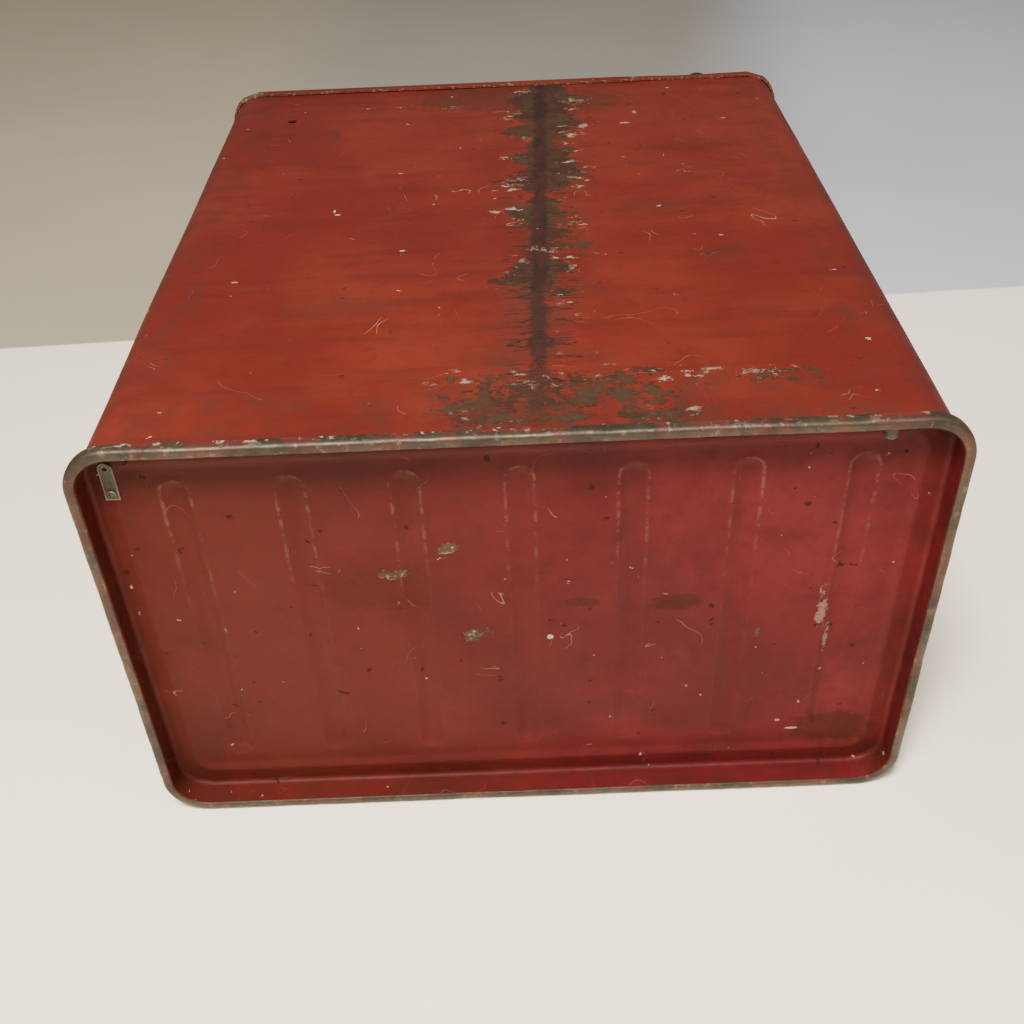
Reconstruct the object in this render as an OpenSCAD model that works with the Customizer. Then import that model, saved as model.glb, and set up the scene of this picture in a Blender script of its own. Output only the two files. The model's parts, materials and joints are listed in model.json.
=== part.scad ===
/* [Box] */
// Width of the body, without its rim
body_w = 344; // [330:1:420]
// Depth of the body, without its rim
body_d = 207.5; // [190:0.5:260]
// Height of the body to its top edge
body_h = 395.5; // [380:0.5:480]
// Thickness of the body sheet
sheet = 1; // [0.8:0.1:1.5]
// Outside radius of the upright corners
corner_r = 17; // [12:1:24]

/* [Base] */
// How far the rolled rim stands out from the body
rim_proud = 3; // [2.5:0.5:5]
// Height of the rolled rim
rim_h = 6.5; // [5.5:0.5:9]
// Depth of the recess under the base
recess_depth = 13; // [9:0.5:20]
// Thickness of the base pan
pan_t = 0.8; // [0.6:0.1:1.2]
// Width of the flat margin round the recess
margin_w = 11.5; // [8:0.5:18]
// Depth of the step inside that margin
crease_depth = 1; // [0.5:0.1:2]
// Number of pressed grooves
groove_count = 7; // [3:2:7]
// Width of a groove
groove_w = 12; // [8:0.5:16]
// Depth of a groove
groove_depth = 3.3; // [2:0.1:5]
// Distance from one groove to the next
groove_pitch = 45.8; // [40:0.1:52]
// Gap between a groove's end and the wall of the recess
groove_end_gap = 19.7; // [16:0.1:30]

/* [Front door] */
// Width of the front opening
opening_w = 224; // [180:1:235]
// Height of the front opening
opening_h = 280; // [220:1:290]
// Height of the opening's lower edge
opening_z = 62; // [60:1:75]
// Middle of the opening, to the right of the body's middle
opening_x = 28; // [24:1:34]
// How far the door covers the body round the opening
door_lap = 8; // [6:0.5:9]
// Thickness of the door sheet
door_t = 1.2; // [0.8:0.1:1.2]
// Width of the window
window_w = 168; // [120:1:172]
// Height of the window
window_h = 190; // [140:1:200]
// Thickness of the window pane
pane_t = 2; // [1.5:0.5:3]
// Width of the finger pull
pull_w = 70; // [50:1:90]
// Height of the finger pull's mouth
pull_h = 22; // [18:1:26]
// Depth of the finger pull
pull_depth = 11; // [9:1:16]

/* [Coin side] */
// Width of the coin compartment
coin_w = 67; // [64:1:72]
// Width of the coin slot
slot_w = 5; // [4.6:0.1:6]
// Height of the coin slot
slot_h = 36; // [28:1:38]
// Height of the coin slot's middle
slot_z = 330; // [320:1:336]
// Width inside the coin chute
chute_w = 22; // [18:1:26]
// Depth inside the coin chute
chute_depth = 44; // [42:1:55]
// Height of the cash tin
tin_h = 120; // [80:1:170]

/* [Lid] */
// Thickness of the lid sheet
lid_t = 1.2; // [1:0.1:1.5]
// Height of the lid's skirt
skirt_h = 7; // [5:0.5:7.5]
// Gap between the skirt and the body
skirt_gap = 0.6; // [0.4:0.1:0.8]
// Radius of the lock barrel
lock_r = 9; // [8:0.5:9]
// Height of the popped-up barrel above the lid
lock_up = 19; // [17:0.5:23]
// How far the lock barrel pushes in
lock_travel = 14; // [10:0.5:15]
// Distance from the lock's middle to the left side of the body
lock_inset_x = 46; // [42:1:50]
// Distance from the lock's middle to the back of the body
lock_inset_y = 12.75; // [12.5:0.25:20]

/* [Hidden] */
$fn = 48;

// Clearances between moving pieces
run_gap = 0.05;
side_gap = 0.35;
rest_gap = 0.3;
eps = 0.01;

// Outside and inside faces of the body
half_w = body_w / 2;
half_d = body_d / 2;
front_y = -half_d;
back_y = half_d;
in_w = half_w - sheet;
in_d = half_d - sheet;
in_r = corner_r - sheet;

// Base
pan_in_w = in_w - pan_t;
pan_in_d = in_d - pan_t;
pan_in_r = in_r - pan_t;
pan_top = recess_depth + pan_t;
field_top = pan_top + crease_depth;
groove_top = recess_depth + crease_depth + groove_depth + pan_t;
seat_z = 2;
tab_w = 5.6;
tab_l = 15;
tab_x = pan_in_w - 8.8;
tab_y = pan_in_d - 12;
tab_hole_r = 1.1;
bolt_x = -half_w + 30;
bolt_z = 6;
bolt_r = 2.8;
bolt_l = 6;
rim_round = 2;
rim_inner_round = 0.8;

// Back seam
seam_x = -16;
strap_w = 30;
strap_t = 1.2;

// Front opening, door and its hinge
hinge_r = 2;
hinge_pin_r = 0.9;
hinge_gap = 2.4;
leaf_t = 1;
door_hinge_y = front_y - leaf_t + 0.35;
door_hinge_z = opening_z + opening_h - hinge_gap;
door_w = opening_w + 2 * door_lap;
door_back_y = front_y - leaf_t - 0.15;
door_front_y = door_back_y - door_t;
door_top = door_hinge_z - hinge_gap;
door_bottom = opening_z - door_lap;
hem_w = 7;
hem_t = 0.8;
door_hinge_w = 180;
door_knuckles = 9;
leaf_h = 13;
window_z = door_top - window_h - 28;
pane_lap = 8;
retainer_t = 1;
pull_z = opening_z + 8;
pull_wall = 1;
pull_finger = 7;
frame_w = 11;
frame_t = 1.2;

// Inside
shelf_top = 51;
partition_x = -in_w + coin_w;
partition_lip = 10;
coin_mid_x = -half_w + 44;
tin_x = (-in_w + partition_x) / 2;
tin_w = coin_w - 9;
tin_d = 110;
tin_t = 0.8;
tin_r = 6;
tin_z = groove_top + rest_gap;
tin_front = -in_d + in_r - 3;
tin_y = tin_front + tin_d / 2;
flap_t = 1;
flap_pin_r = 1.2;
flap_r = 2.2;
flap_y = -in_d + 4.2;
flap_h = 38;
flap_z = slot_z + slot_h / 2 + 2;
chute_t = 1;
chute_top = flap_z + 6;
chute_bottom = tin_z + tin_h + tin_t + 5;
ramp_h = 26;
plate_w = 44;
plate_h = 62;
plate_t = 2;
card_w = 44;
card_h = 84;
card_z = slot_z - 128;

// Lid, its hinge and its lock
lid_under = body_h + rest_gap;
lid_top = lid_under + lid_t;
skirt_in = skirt_gap;
skirt_out = skirt_gap + lid_t;
lid_hinge_r = 1.7;
lid_pin_r = 0.8;
lid_hinge_x = half_w + 1;
lid_hinge_z = lid_top - skirt_h - 2;
lid_hinge_len = 120;
lid_knuckles = 7;
lid_leaf_t = 0.8;
lid_leaf_h = 8;
lid_leaf_x = half_w + skirt_out;
ring_t = 1.2;
ring_h = 14;
lock_x = -half_w + lock_inset_x;
lock_y = half_d - lock_inset_y;
housing_r = lock_r + run_gap + 1.15;
housing_flange_r = housing_r + 1.3;
housing_h = 40;
housing_flange_t = 1;
nut_r = housing_r + 5;
nut_t = 3;
barrel_top = lid_top + lock_up;
barrel_h = lock_up + 19;
barrel_shoulder = 3;
nose_r = 4;
nose_h = 24;
nose_gap = 0.6;
plug_r = 5.5;
plug_h = 16;
key_w = 1.8;
key_l = 7;
keeper_z = lid_under - housing_h - 6;
keeper_t = 1.5;
keeper_w = 19;
spring_r = 6.4;
spring_wire = 0.7;
spring_turns = 3;
spring_top = barrel_top - barrel_h - 0.1;
spring_foot = lid_under - housing_h + 1.6;

// Flat outline with round corners, centred on the origin
module rounded(w, d, r) {
    square([w, d - 2 * r], center = true);
    square([w - 2 * r, d], center = true);
    for (x = [-1, 1], y = [-1, 1]) translate([x * (w / 2 - r), y * (d / 2 - r)]) circle(r);
}

// Upright block with that outline
module block(w, d, r, z0, z1) {
    translate([0, 0, z0]) linear_extrude(z1 - z0) rounded(w, d, r);
}

// Box between two corners
module slab(low, high) {
    translate(low) cube(high - low);
}

// Cylinder along X from one end to the other
module bar_x(x0, x1, y, z, r) {
    translate([x0, y, z]) rotate([0, 90, 0]) cylinder(r = r, h = x1 - x0);
}

// Cylinder along Y from one end to the other
module bar_y(x, y0, y1, z, r) {
    translate([x, y0, z]) rotate([-90, 0, 0]) cylinder(r = r, h = y1 - y0);
}

// Domed rivet head, its foot on the origin and its dome along +Z
module rivet(r, h) {
    dome_r = (r * r + h * h) / (2 * h);
    intersection() {
        translate([0, 0, h - dome_r]) sphere(dome_r);
        cylinder(r = r + 1, h = h + 1);
    }
}

// Flat rivet head with a sloped edge, for places with little room
module flat_rivet(r, h) {
    cylinder(r1 = r, r2 = 0.75 * r, h = h);
}

// Spans of a hinge's knuckles along its length, every second one
function knuckles(length, count, first) =
    [for (i = [first : 2 : count - 1]) [-length / 2 + i * length / count,
                                        -length / 2 + (i + 1) * length / count]];

// Rolled section of the base rim, x outwards from the body sheet's inside face
module rim_section() {
    w = sheet + rim_proud;
    translate([rim_inner_round, 0]) square([w - rim_inner_round - rim_round, rim_h]);
    translate([0, rim_inner_round]) square([w, rim_h - rim_inner_round - rim_round]);
    translate([0, rim_h - rim_round]) square([w - rim_round, rim_round]);
    translate([rim_inner_round, rim_inner_round]) circle(rim_inner_round);
    translate([w - rim_round, rim_round]) circle(rim_round);
    translate([w - rim_round, rim_h - rim_round]) circle(rim_round);
    translate([w - rim_round, rim_round]) square([rim_round, rim_h - 2 * rim_round]);
}

module base_rim() {
    cx = in_w - in_r;
    cy = in_d - in_r;
    color([0.30, 0.26, 0.20]) difference() {
        union() {
            for (q = [0 : 3])
                translate([(q == 0 || q == 3 ? 1 : -1) * cx, (q < 2 ? 1 : -1) * cy, 0])
                    rotate([0, 0, 90 * q]) rotate_extrude(angle = 90)
                        translate([in_r, 0]) rim_section();
            for (s = [-1, 1]) {
                rotate([0, 0, s * 90]) translate([in_d, cx, 0])
                    rotate([90, 0, 0]) linear_extrude(2 * cx) rim_section();
                rotate([0, 0, s * 90 + 90]) translate([in_w, cy, 0])
                    rotate([90, 0, 0]) linear_extrude(2 * cy) rim_section();
            }
        }
        block(body_w, body_d, corner_r, seat_z, rim_h + 1);
    }
}

// Round-ended bar over each pressed groove, wider and longer than the groove by twice the margin
module grooves(margin, z0, z1) {
    length = 2 * (pan_in_d - groove_end_gap);
    first = -(groove_count - 1) / 2 * groove_pitch;
    for (i = [0 : groove_count - 1]) translate([first + i * groove_pitch, 0, 0])
        block(groove_w + 2 * margin, length + 2 * margin, groove_w / 2 + margin - eps, z0, z1);
}

module base_pan() {
    field_w = 2 * (pan_in_w - margin_w);
    field_d = 2 * (pan_in_d - margin_w);
    color([0.55, 0.13, 0.13]) difference() {
        union() {
            block(2 * in_w, 2 * in_d, in_r, rim_inner_round, pan_top);
            block(field_w + 2 * pan_t, field_d + 2 * pan_t, 6 + pan_t, recess_depth, field_top);
            grooves(pan_t, recess_depth, groove_top);
        }
        block(2 * pan_in_w, 2 * pan_in_d, pan_in_r, -1, recess_depth);
        block(field_w, field_d, 6, recess_depth - 1, recess_depth + crease_depth);
        grooves(0, recess_depth - 1, groove_top - pan_t);
    }
}

module body_shell() {
    color([0.55, 0.16, 0.12]) difference() {
        block(body_w, body_d, corner_r, seat_z, body_h);
        block(2 * in_w, 2 * in_d, in_r, seat_z - 1, body_h + 1);
        slab([opening_x - opening_w / 2, front_y - 1, opening_z],
             [opening_x + opening_w / 2, front_y + 5, opening_z + opening_h]);
        slab([coin_mid_x - slot_w / 2 - 1.5, front_y - 1, slot_z - slot_h / 2 - 1.5],
             [coin_mid_x + slot_w / 2 + 1.5, front_y + 5, slot_z + slot_h / 2 + 1.5]);
        slab([half_w - 5, -lid_hinge_len / 2 - 1, lid_hinge_z - lid_hinge_r - 0.6],
             [half_w + 5, lid_hinge_len / 2 + 1, body_h + 1]);
        bar_y(half_w - 44, back_y - 5, back_y + 1, body_h - 50, 2.75);
        bar_y(-half_w + 28.5, back_y - 5, back_y + 1, body_h - 33, 1);
    }
}

module seam_strap() {
    color([0.35, 0.30, 0.26])
        slab([seam_x - strap_w / 2, in_d - strap_t, pan_top],
             [seam_x + strap_w / 2, in_d, body_h - ring_h - 2]);
}

module top_ring() {
    color([0.38, 0.34, 0.30]) difference() {
        block(2 * in_w, 2 * in_d, in_r, body_h - ring_h, body_h);
        block(2 * (in_w - ring_t), 2 * (in_d - ring_t), in_r - ring_t, body_h - ring_h - 1, body_h + 1);
    }
}

// Strip with a hole, fixed flat on the recess's margin near one back corner
module corner_tab() {
    color([0.42, 0.38, 0.34]) difference() {
        union() {
            slab([tab_x - tab_w / 2, tab_y - tab_l, recess_depth - 1], [tab_x + tab_w / 2, tab_y, recess_depth]);
            translate([tab_x, tab_y, recess_depth - 1]) cylinder(r = tab_w / 2, h = 1);
        }
        translate([tab_x, tab_y, recess_depth - 3]) cylinder(r = tab_hole_r, h = 4);
    }
}

module base_rivets() {
    color([0.25, 0.22, 0.19]) {
        translate([bolt_x, pan_in_d, bolt_z]) rotate([90, 0, 0]) cylinder(r = bolt_r, h = bolt_l);
        translate([bolt_x, pan_in_d - bolt_l, bolt_z]) rotate([90, 0, 0]) rivet(bolt_r, 1.2);
        translate([tab_x, tab_y - tab_l + 3, recess_depth - 1]) rotate([180, 0, 0]) rivet(1.6, 0.9);
    }
}

module door_frame() {
    color([0.45, 0.12, 0.10]) translate([opening_x, 0, 0]) difference() {
        slab([-opening_w / 2 - frame_w, -in_d, opening_z - frame_w],
             [opening_w / 2 + frame_w, -in_d + frame_t, opening_z + opening_h + frame_w]);
        slab([-opening_w / 2, -in_d - 1, opening_z],
             [opening_w / 2, -in_d + 5, opening_z + opening_h]);
    }
}

// A hinge leaf for the door: its plate, and the knuckles that belong to it
module door_leaf(y0, z0, z1, first) {
    mine = knuckles(door_hinge_w, door_knuckles, first);
    other = knuckles(door_hinge_w, door_knuckles, 1 - first);
    translate([opening_x, 0, 0]) difference() {
        union() {
            slab([-door_hinge_w / 2, y0, min(z0, z1)], [door_hinge_w / 2, y0 + leaf_t, max(z0, z1)]);
            for (k = mine) bar_x(k[0] + 0.15, k[1] - 0.15, door_hinge_y, door_hinge_z, hinge_r);
        }
        for (k = other) slab([k[0] - 0.15, y0 - 3, door_hinge_z - hinge_gap],
                             [k[1] + 0.15, y0 + 4, door_hinge_z + hinge_gap]);
        bar_x(-door_hinge_w, door_hinge_w, door_hinge_y, door_hinge_z, hinge_pin_r + run_gap);
    }
}

module door_fixed_leaf() {
    color([0.40, 0.36, 0.32])
        door_leaf(front_y - leaf_t, door_hinge_z, door_hinge_z + leaf_h, 0);
}

module door_moving_leaf() {
    color([0.40, 0.36, 0.32])
        door_leaf(door_back_y, door_hinge_z - leaf_h, door_hinge_z, 1);
}

module door_hinge_pin() {
    color([0.5, 0.48, 0.45])
        bar_x(opening_x - door_hinge_w / 2, opening_x + door_hinge_w / 2,
              door_hinge_y, door_hinge_z, hinge_pin_r);
}

module front_rivets() {
    color([0.35, 0.3, 0.26]) {
        for (x = [-2 : 2])
            translate([opening_x + x * door_hinge_w / 4.5, front_y - leaf_t, door_hinge_z + 8])
                rotate([90, 0, 0]) rivet(2.4, 1.1);
        for (x = [-1, 1], z = [-1, 1])
            translate([coin_mid_x + x * (plate_w / 2 - 5), front_y - plate_t, slot_z + z * (plate_h / 2 - 5)])
                rotate([90, 0, 0]) flat_rivet(2, 0.6);
    }
}

module door() {
    color([0.58, 0.15, 0.12]) translate([opening_x, 0, 0]) difference() {
        union() {
            slab([-door_w / 2, door_front_y, door_bottom], [door_w / 2, door_back_y, door_top]);
            for (x = [-door_w / 2, door_w / 2 - hem_w])
                slab([x, door_back_y, door_bottom], [x + hem_w, door_back_y + hem_t, door_top]);
            slab([-door_w / 2, door_back_y, door_bottom],
                 [door_w / 2, door_back_y + hem_t, door_bottom + hem_w]);
        }
        translate([0, door_back_y + 1, window_z + window_h / 2]) rotate([90, 0, 0])
            linear_extrude(5) rounded(window_w, window_h, 8);
        slab([-pull_w / 2, door_front_y - 1, pull_z], [pull_w / 2, door_back_y + 1, pull_z + pull_h]);
    }
}

module door_rivets() {
    color([0.4, 0.14, 0.12]) for (x = [-2 : 2])
        translate([opening_x + x * door_hinge_w / 4.5, door_front_y, door_hinge_z - 9])
            rotate([90, 0, 0]) flat_rivet(2.4, 0.45);
}

module window_pane() {
    color([0.85, 0.88, 0.85, 0.5]) translate([opening_x, 0, 0])
        slab([-window_w / 2 - pane_lap, door_back_y, window_z - pane_lap],
             [window_w / 2 + pane_lap, door_back_y + pane_t, window_z + window_h + pane_lap]);
}

module window_retainer() {
    lap = pane_lap + 1;
    color([0.45, 0.42, 0.38]) translate([opening_x, 0, 0]) difference() {
        slab([-window_w / 2 - lap, door_back_y + pane_t, window_z - lap],
             [window_w / 2 + lap, door_back_y + pane_t + retainer_t, window_z + window_h + lap]);
        translate([0, door_back_y + pane_t + 4, window_z + window_h / 2]) rotate([90, 0, 0])
            linear_extrude(8) rounded(window_w, window_h, 8);
    }
}

module retainer_screws() {
    y = door_back_y + pane_t + retainer_t;
    color([0.6, 0.58, 0.55]) for (x = [-1, 0, 1], z = [-1, 0, 1]) if (x != 0 || z != 0)
        translate([opening_x + x * (window_w / 2 + 4.5), y, window_z + window_h / 2 + z * (window_h / 2 + 4.5)])
            rotate([-90, 0, 0]) rivet(2.6, 1.3);
}

// Finger pull: a dish behind the door, taller than its mouth so that fingers hook the sheet
module door_pull() {
    w = pull_w / 2 + 3;
    z0 = pull_z - 3;
    z1 = pull_z + pull_h + pull_finger;
    color([0.5, 0.13, 0.11]) translate([opening_x, 0, 0]) difference() {
        slab([-w, door_back_y, z0], [w, door_back_y + pull_depth, z1]);
        slab([-w + pull_wall, door_back_y - 1, z0 + pull_wall],
             [w - pull_wall, door_back_y + pull_depth - pull_wall, z1 - pull_wall]);
    }
}

module paper_shelf() {
    left = partition_x + sheet;
    color([0.40, 0.12, 0.10]) {
        difference() {
            intersection() {
                block(2 * in_w - 1, 2 * in_d - 2 * frame_t - 1, in_r - 1, shelf_top - sheet, shelf_top);
                slab([left, -half_d, shelf_top - 5], [half_w, half_d, shelf_top + 5]);
            }
            slab([seam_x - strap_w / 2 - 1, in_d - strap_t - 0.4, shelf_top - 5],
                 [seam_x + strap_w / 2 + 1, half_d, shelf_top + 5]);
        }
        slab([left, -70, shelf_top], [left + sheet, 70, shelf_top + 14]);
        for (y = [-60, 60 - sheet])
            slab([left + 10, y, field_top + groove_depth], [in_w - 14, y + sheet, shelf_top - sheet]);
    }
}

module coin_partition() {
    top = body_h - ring_h - 1;
    color([0.42, 0.13, 0.11]) difference() {
        union() {
            slab([partition_x, -in_d, field_top], [partition_x + sheet, in_d, top]);
            slab([partition_x - partition_lip, in_d - sheet, field_top + 20], [partition_x, in_d, top]);
            slab([partition_x - partition_lip, -in_d, field_top + 20], [partition_x, -in_d + sheet, top]);
        }
        grooves(pan_t + rest_gap, recess_depth, groove_top + rest_gap);
    }
}

module coin_slot_plate() {
    y = front_y;
    color([0.62, 0.58, 0.50]) translate([coin_mid_x, 0, slot_z]) difference() {
        translate([0, y, 0]) rotate([90, 0, 0]) linear_extrude(plate_t) rounded(plate_w, plate_h, 5);
        slab([-slot_w / 2, y - 5, -slot_h / 2], [slot_w / 2, y + 1, slot_h / 2]);
    }
}

module coin_chute() {
    w = chute_w / 2 + chute_t;
    y0 = -in_d;
    y1 = y0 + chute_depth + chute_t;
    color([0.5, 0.47, 0.42]) translate([coin_mid_x, 0, 0]) difference() {
        union() {
            slab([-w, y0, chute_bottom], [w, y1, chute_top]);
            slab([-w, y0, slot_z - slot_h / 2 - 6], [w + 1.5, y0 + chute_t, slot_z + slot_h / 2 + 6]);
        }
        difference() {
            slab([-chute_w / 2, y0 + chute_t, chute_bottom - 1],
                 [chute_w / 2, y1 - chute_t, chute_top - chute_t]);
            translate([-w, 0, 0]) rotate([90, 0, 90]) linear_extrude(2 * w)
                polygon([[y0, chute_bottom - 2], [tin_front + 8, chute_bottom - 2],
                         [tin_front + 8, chute_bottom], [y0, chute_bottom + ramp_h]]);
        }
        slab([-slot_w / 2 - 1.5, y0 - 1, slot_z - slot_h / 2 - 1.5],
             [slot_w / 2 + 1.5, y0 + 2, slot_z + slot_h / 2 + 1.5]);
        bar_x(-w - 1, w + 1, flap_y, flap_z, flap_pin_r);
    }
}

module coin_flap() {
    half = chute_w / 2 - side_gap;
    color([0.58, 0.55, 0.50]) translate([coin_mid_x, 0, 0]) difference() {
        union() {
            bar_x(-half, half, flap_y, flap_z, flap_r);
            slab([-half, flap_y - flap_t / 2, flap_z - flap_h], [half, flap_y + flap_t / 2, flap_z]);
        }
        bar_x(-half - 1, half + 1, flap_y, flap_z, flap_pin_r + run_gap);
    }
}

module flap_pin() {
    w = chute_w / 2 + chute_t;
    color([0.5, 0.48, 0.45]) bar_x(coin_mid_x - w, coin_mid_x + w, flap_y, flap_z, flap_pin_r);
}

module cash_tin() {
    color([0.5, 0.5, 0.46]) translate([tin_x, tin_y, tin_z]) difference() {
        block(tin_w, tin_d, tin_r, 0, tin_h);
        block(tin_w - 2 * tin_t, tin_d - 2 * tin_t, tin_r - tin_t, tin_t, tin_h + 1);
    }
}

module tin_cover() {
    fit = tin_t + 0.3;
    color([0.46, 0.46, 0.42]) translate([0, 0, tin_z + tin_h]) difference() {
        translate([tin_x, tin_y, 0]) difference() {
            union() {
                block(tin_w, tin_d, tin_r, 0, tin_t);
                block(tin_w - 2 * fit, tin_d - 2 * fit, tin_r - fit, -4, 0);
            }
            block(tin_w - 2 * fit - 2 * tin_t, tin_d - 2 * fit - 2 * tin_t, tin_r - fit - tin_t, -5, 0);
        }
        slab([coin_mid_x - chute_w / 2, tin_front + 6, -6], [coin_mid_x + chute_w / 2, -in_d + chute_depth, 6]);
    }
}

module card_holder() {
    color([0.42, 0.38, 0.34]) translate([coin_mid_x, front_y, card_z]) difference() {
        slab([-card_w / 2, -2.2, 0], [card_w / 2, 0, card_h]);
        slab([-card_w / 2 + 1.2, -1.2, 1.2], [card_w / 2 - 1.2, 1, card_h + 1]);
        slab([-card_w / 2 + 5, -3, 5], [card_w / 2 - 5, 1, card_h + 1]);
    }
}

module blank_card() {
    color([0.86, 0.82, 0.72]) translate([coin_mid_x, front_y, card_z])
        slab([-card_w / 2 + 1.5, -0.9, 1.2], [card_w / 2 - 1.5, 0, card_h - 1]);
}

// A hinge leaf for the lid: a plate beside the knuckles that belong to it
module lid_leaf(x0, z0, z1, first) {
    mine = knuckles(lid_hinge_len, lid_knuckles, first);
    other = knuckles(lid_hinge_len, lid_knuckles, 1 - first);
    difference() {
        union() {
            slab([x0, -lid_hinge_len / 2, z0], [x0 + lid_leaf_t, lid_hinge_len / 2, z1]);
            for (k = mine) bar_y(lid_hinge_x, k[0] + 0.15, k[1] - 0.15, lid_hinge_z, lid_hinge_r);
        }
        for (k = other) slab([x0 - 4, k[0] - 0.15, lid_hinge_z - hinge_gap],
                             [x0 + 4, k[1] + 0.15, lid_hinge_z + hinge_gap]);
        bar_y(lid_hinge_x, -lid_hinge_len, lid_hinge_len, lid_hinge_z, lid_pin_r + run_gap);
    }
}

module lid_fixed_leaf() {
    color([0.40, 0.36, 0.32]) lid_leaf(half_w, lid_hinge_z - 13, lid_hinge_z, 0);
}

module lid_moving_leaf() {
    color([0.40, 0.36, 0.32]) lid_leaf(lid_leaf_x, lid_hinge_z, lid_hinge_z + lid_leaf_h, 1);
}

module lid_hinge_pin() {
    color([0.5, 0.48, 0.45])
        bar_y(lid_hinge_x, -lid_hinge_len / 2, lid_hinge_len / 2, lid_hinge_z, lid_pin_r);
}

module lid() {
    color([0.60, 0.17, 0.13]) difference() {
        block(body_w + 2 * skirt_out, body_d + 2 * skirt_out, corner_r + skirt_out,
              lid_top - skirt_h, lid_top);
        block(body_w + 2 * skirt_in, body_d + 2 * skirt_in, corner_r + skirt_in,
              lid_top - skirt_h - 1, lid_under);
        translate([lock_x, lock_y, lid_under - 1]) cylinder(r = housing_r, h = 5);
    }
}

module lid_rivets() {
    color([0.4, 0.14, 0.12]) for (y = [-45, -15, 15, 45])
        translate([lid_leaf_x + lid_leaf_t, y, lid_hinge_z + 5.4]) rotate([0, 90, 0]) flat_rivet(1.8, 0.35);
}

module lid_stiffener() {
    color([0.42, 0.12, 0.10]) difference() {
        slab([-110, -16, lid_under - 9], [in_w - 22, 16, lid_under]);
        slab([-111, -15, lid_under - 8], [in_w - 21, 15, lid_under + 1]);
    }
}

module lock_housing() {
    color([0.33, 0.30, 0.26]) translate([lock_x, lock_y, 0]) difference() {
        union() {
            translate([0, 0, lid_under - housing_h]) cylinder(r = housing_r, h = housing_h + lid_t);
            translate([0, 0, lid_top]) cylinder(r = housing_flange_r, h = housing_flange_t);
        }
        translate([0, 0, spring_foot]) cylinder(r = lock_r + run_gap, h = 60);
        translate([0, 0, 0]) cylinder(r = nose_r + nose_gap, h = lid_top);
    }
}

module lock_nut() {
    color([0.5, 0.48, 0.44]) translate([lock_x, lock_y, lid_under - nut_t]) difference() {
        intersection() {
            cylinder(r = nut_r, h = nut_t, $fn = 6);
            slab([-nut_r, -nut_r, 0], [nut_r, lock_inset_y - sheet - ring_t - 0.3, nut_t]);
        }
        translate([0, 0, -1]) cylinder(r = housing_r, h = nut_t + 2);
    }
}

// Half profile of the barrel: flat top, round shoulder, straight side and the thinner nose
module barrel_profile() {
    square([lock_r, barrel_h - barrel_shoulder]);
    square([lock_r - barrel_shoulder, barrel_h]);
    translate([lock_r - barrel_shoulder, barrel_h - barrel_shoulder]) intersection() {
        circle(barrel_shoulder);
        square(barrel_shoulder);
    }
    translate([0, -nose_h]) square([nose_r, nose_h + 1]);
}

module lock_barrel() {
    color([0.18, 0.16, 0.13]) translate([lock_x, lock_y, barrel_top - barrel_h]) difference() {
        rotate_extrude() barrel_profile();
        translate([0, 0, barrel_h - plug_h]) cylinder(r = plug_r + run_gap, h = plug_h + 1);
    }
}

module key_plug() {
    color([0.45, 0.40, 0.30]) translate([lock_x, lock_y, barrel_top - plug_h]) difference() {
        cylinder(r = plug_r, h = plug_h - 0.4);
        slab([-key_w / 2, -key_l / 2, 3], [key_w / 2, key_l / 2, plug_h + 1]);
    }
}

// Points round the spring's wire at one place along its turns
function spring_ring(a) =
    let (rise = (spring_top - spring_foot - 2 * spring_wire) * a / 360 / spring_turns)
    [for (j = [0 : 7]) let (b = 45 * j, r = spring_r + spring_wire * cos(b))
        [r * cos(a), r * sin(a), spring_foot + spring_wire + rise + spring_wire * sin(b)]];

module lock_spring() {
    steps = spring_turns * 14;
    points = [for (i = [0 : steps]) each spring_ring(i * 360 / 14)];
    sides = [for (i = [0 : steps - 1], j = [0 : 7])
        [8 * i + j, 8 * i + (j + 1) % 8, 8 * i + 8 + (j + 1) % 8, 8 * i + 8 + j]];
    near = [for (j = [0 : 7]) 7 - j];
    far = [for (j = [0 : 7]) 8 * steps + j];
    color([0.6, 0.6, 0.6]) translate([lock_x, lock_y, 0])
        polyhedron(points, concat([near, far], sides));
}

// Shelf with a hole under the lock, fixed to the inside of the back
module lock_keeper() {
    color([0.42, 0.38, 0.34]) difference() {
        union() {
            slab([lock_x - keeper_w / 2, lock_y - 10, keeper_z - keeper_t], [lock_x + keeper_w / 2, in_d, keeper_z]);
            slab([lock_x - keeper_w / 2, in_d - keeper_t, keeper_z - 24], [lock_x + keeper_w / 2, in_d, keeper_z]);
        }
        translate([lock_x, lock_y, keeper_z - 5]) cylinder(r = nose_r + nose_gap, h = 10);
    }
}

module keeper_rivets() {
    color([0.4, 0.37, 0.33]) for (x = [-5.5, 5.5])
        translate([lock_x + x, in_d - keeper_t, keeper_z - 14]) rotate([90, 0, 0]) rivet(2.2, 1.2);
}

body_shell();
base_pan();
base_rim();
seam_strap();
top_ring();
corner_tab();
base_rivets();
door_frame();
door_fixed_leaf();
door_hinge_pin();
front_rivets();
paper_shelf();
coin_partition();
coin_slot_plate();
coin_chute();
cash_tin();
tin_cover();
card_holder();
blank_card();
lid_fixed_leaf();
lid_hinge_pin();
lock_keeper();
keeper_rivets();
door();
door_moving_leaf();
door_rivets();
window_pane();
window_retainer();
retainer_screws();
door_pull();
coin_flap();
flap_pin();
lid();
lid_moving_leaf();
lid_rivets();
lid_stiffener();
lock_housing();
lock_nut();
lock_barrel();
lock_spring();
key_plug();
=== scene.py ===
"""Looks of a red steel newspaper vending box: worn paint, a bare rolled rim, rust along the back seam."""

import json
import logging
import math
from dataclasses import dataclass, field
from enum import Enum
from typing import Callable, Sequence

import bmesh
import bpy
from mathutils import Matrix, Vector, noise


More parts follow.
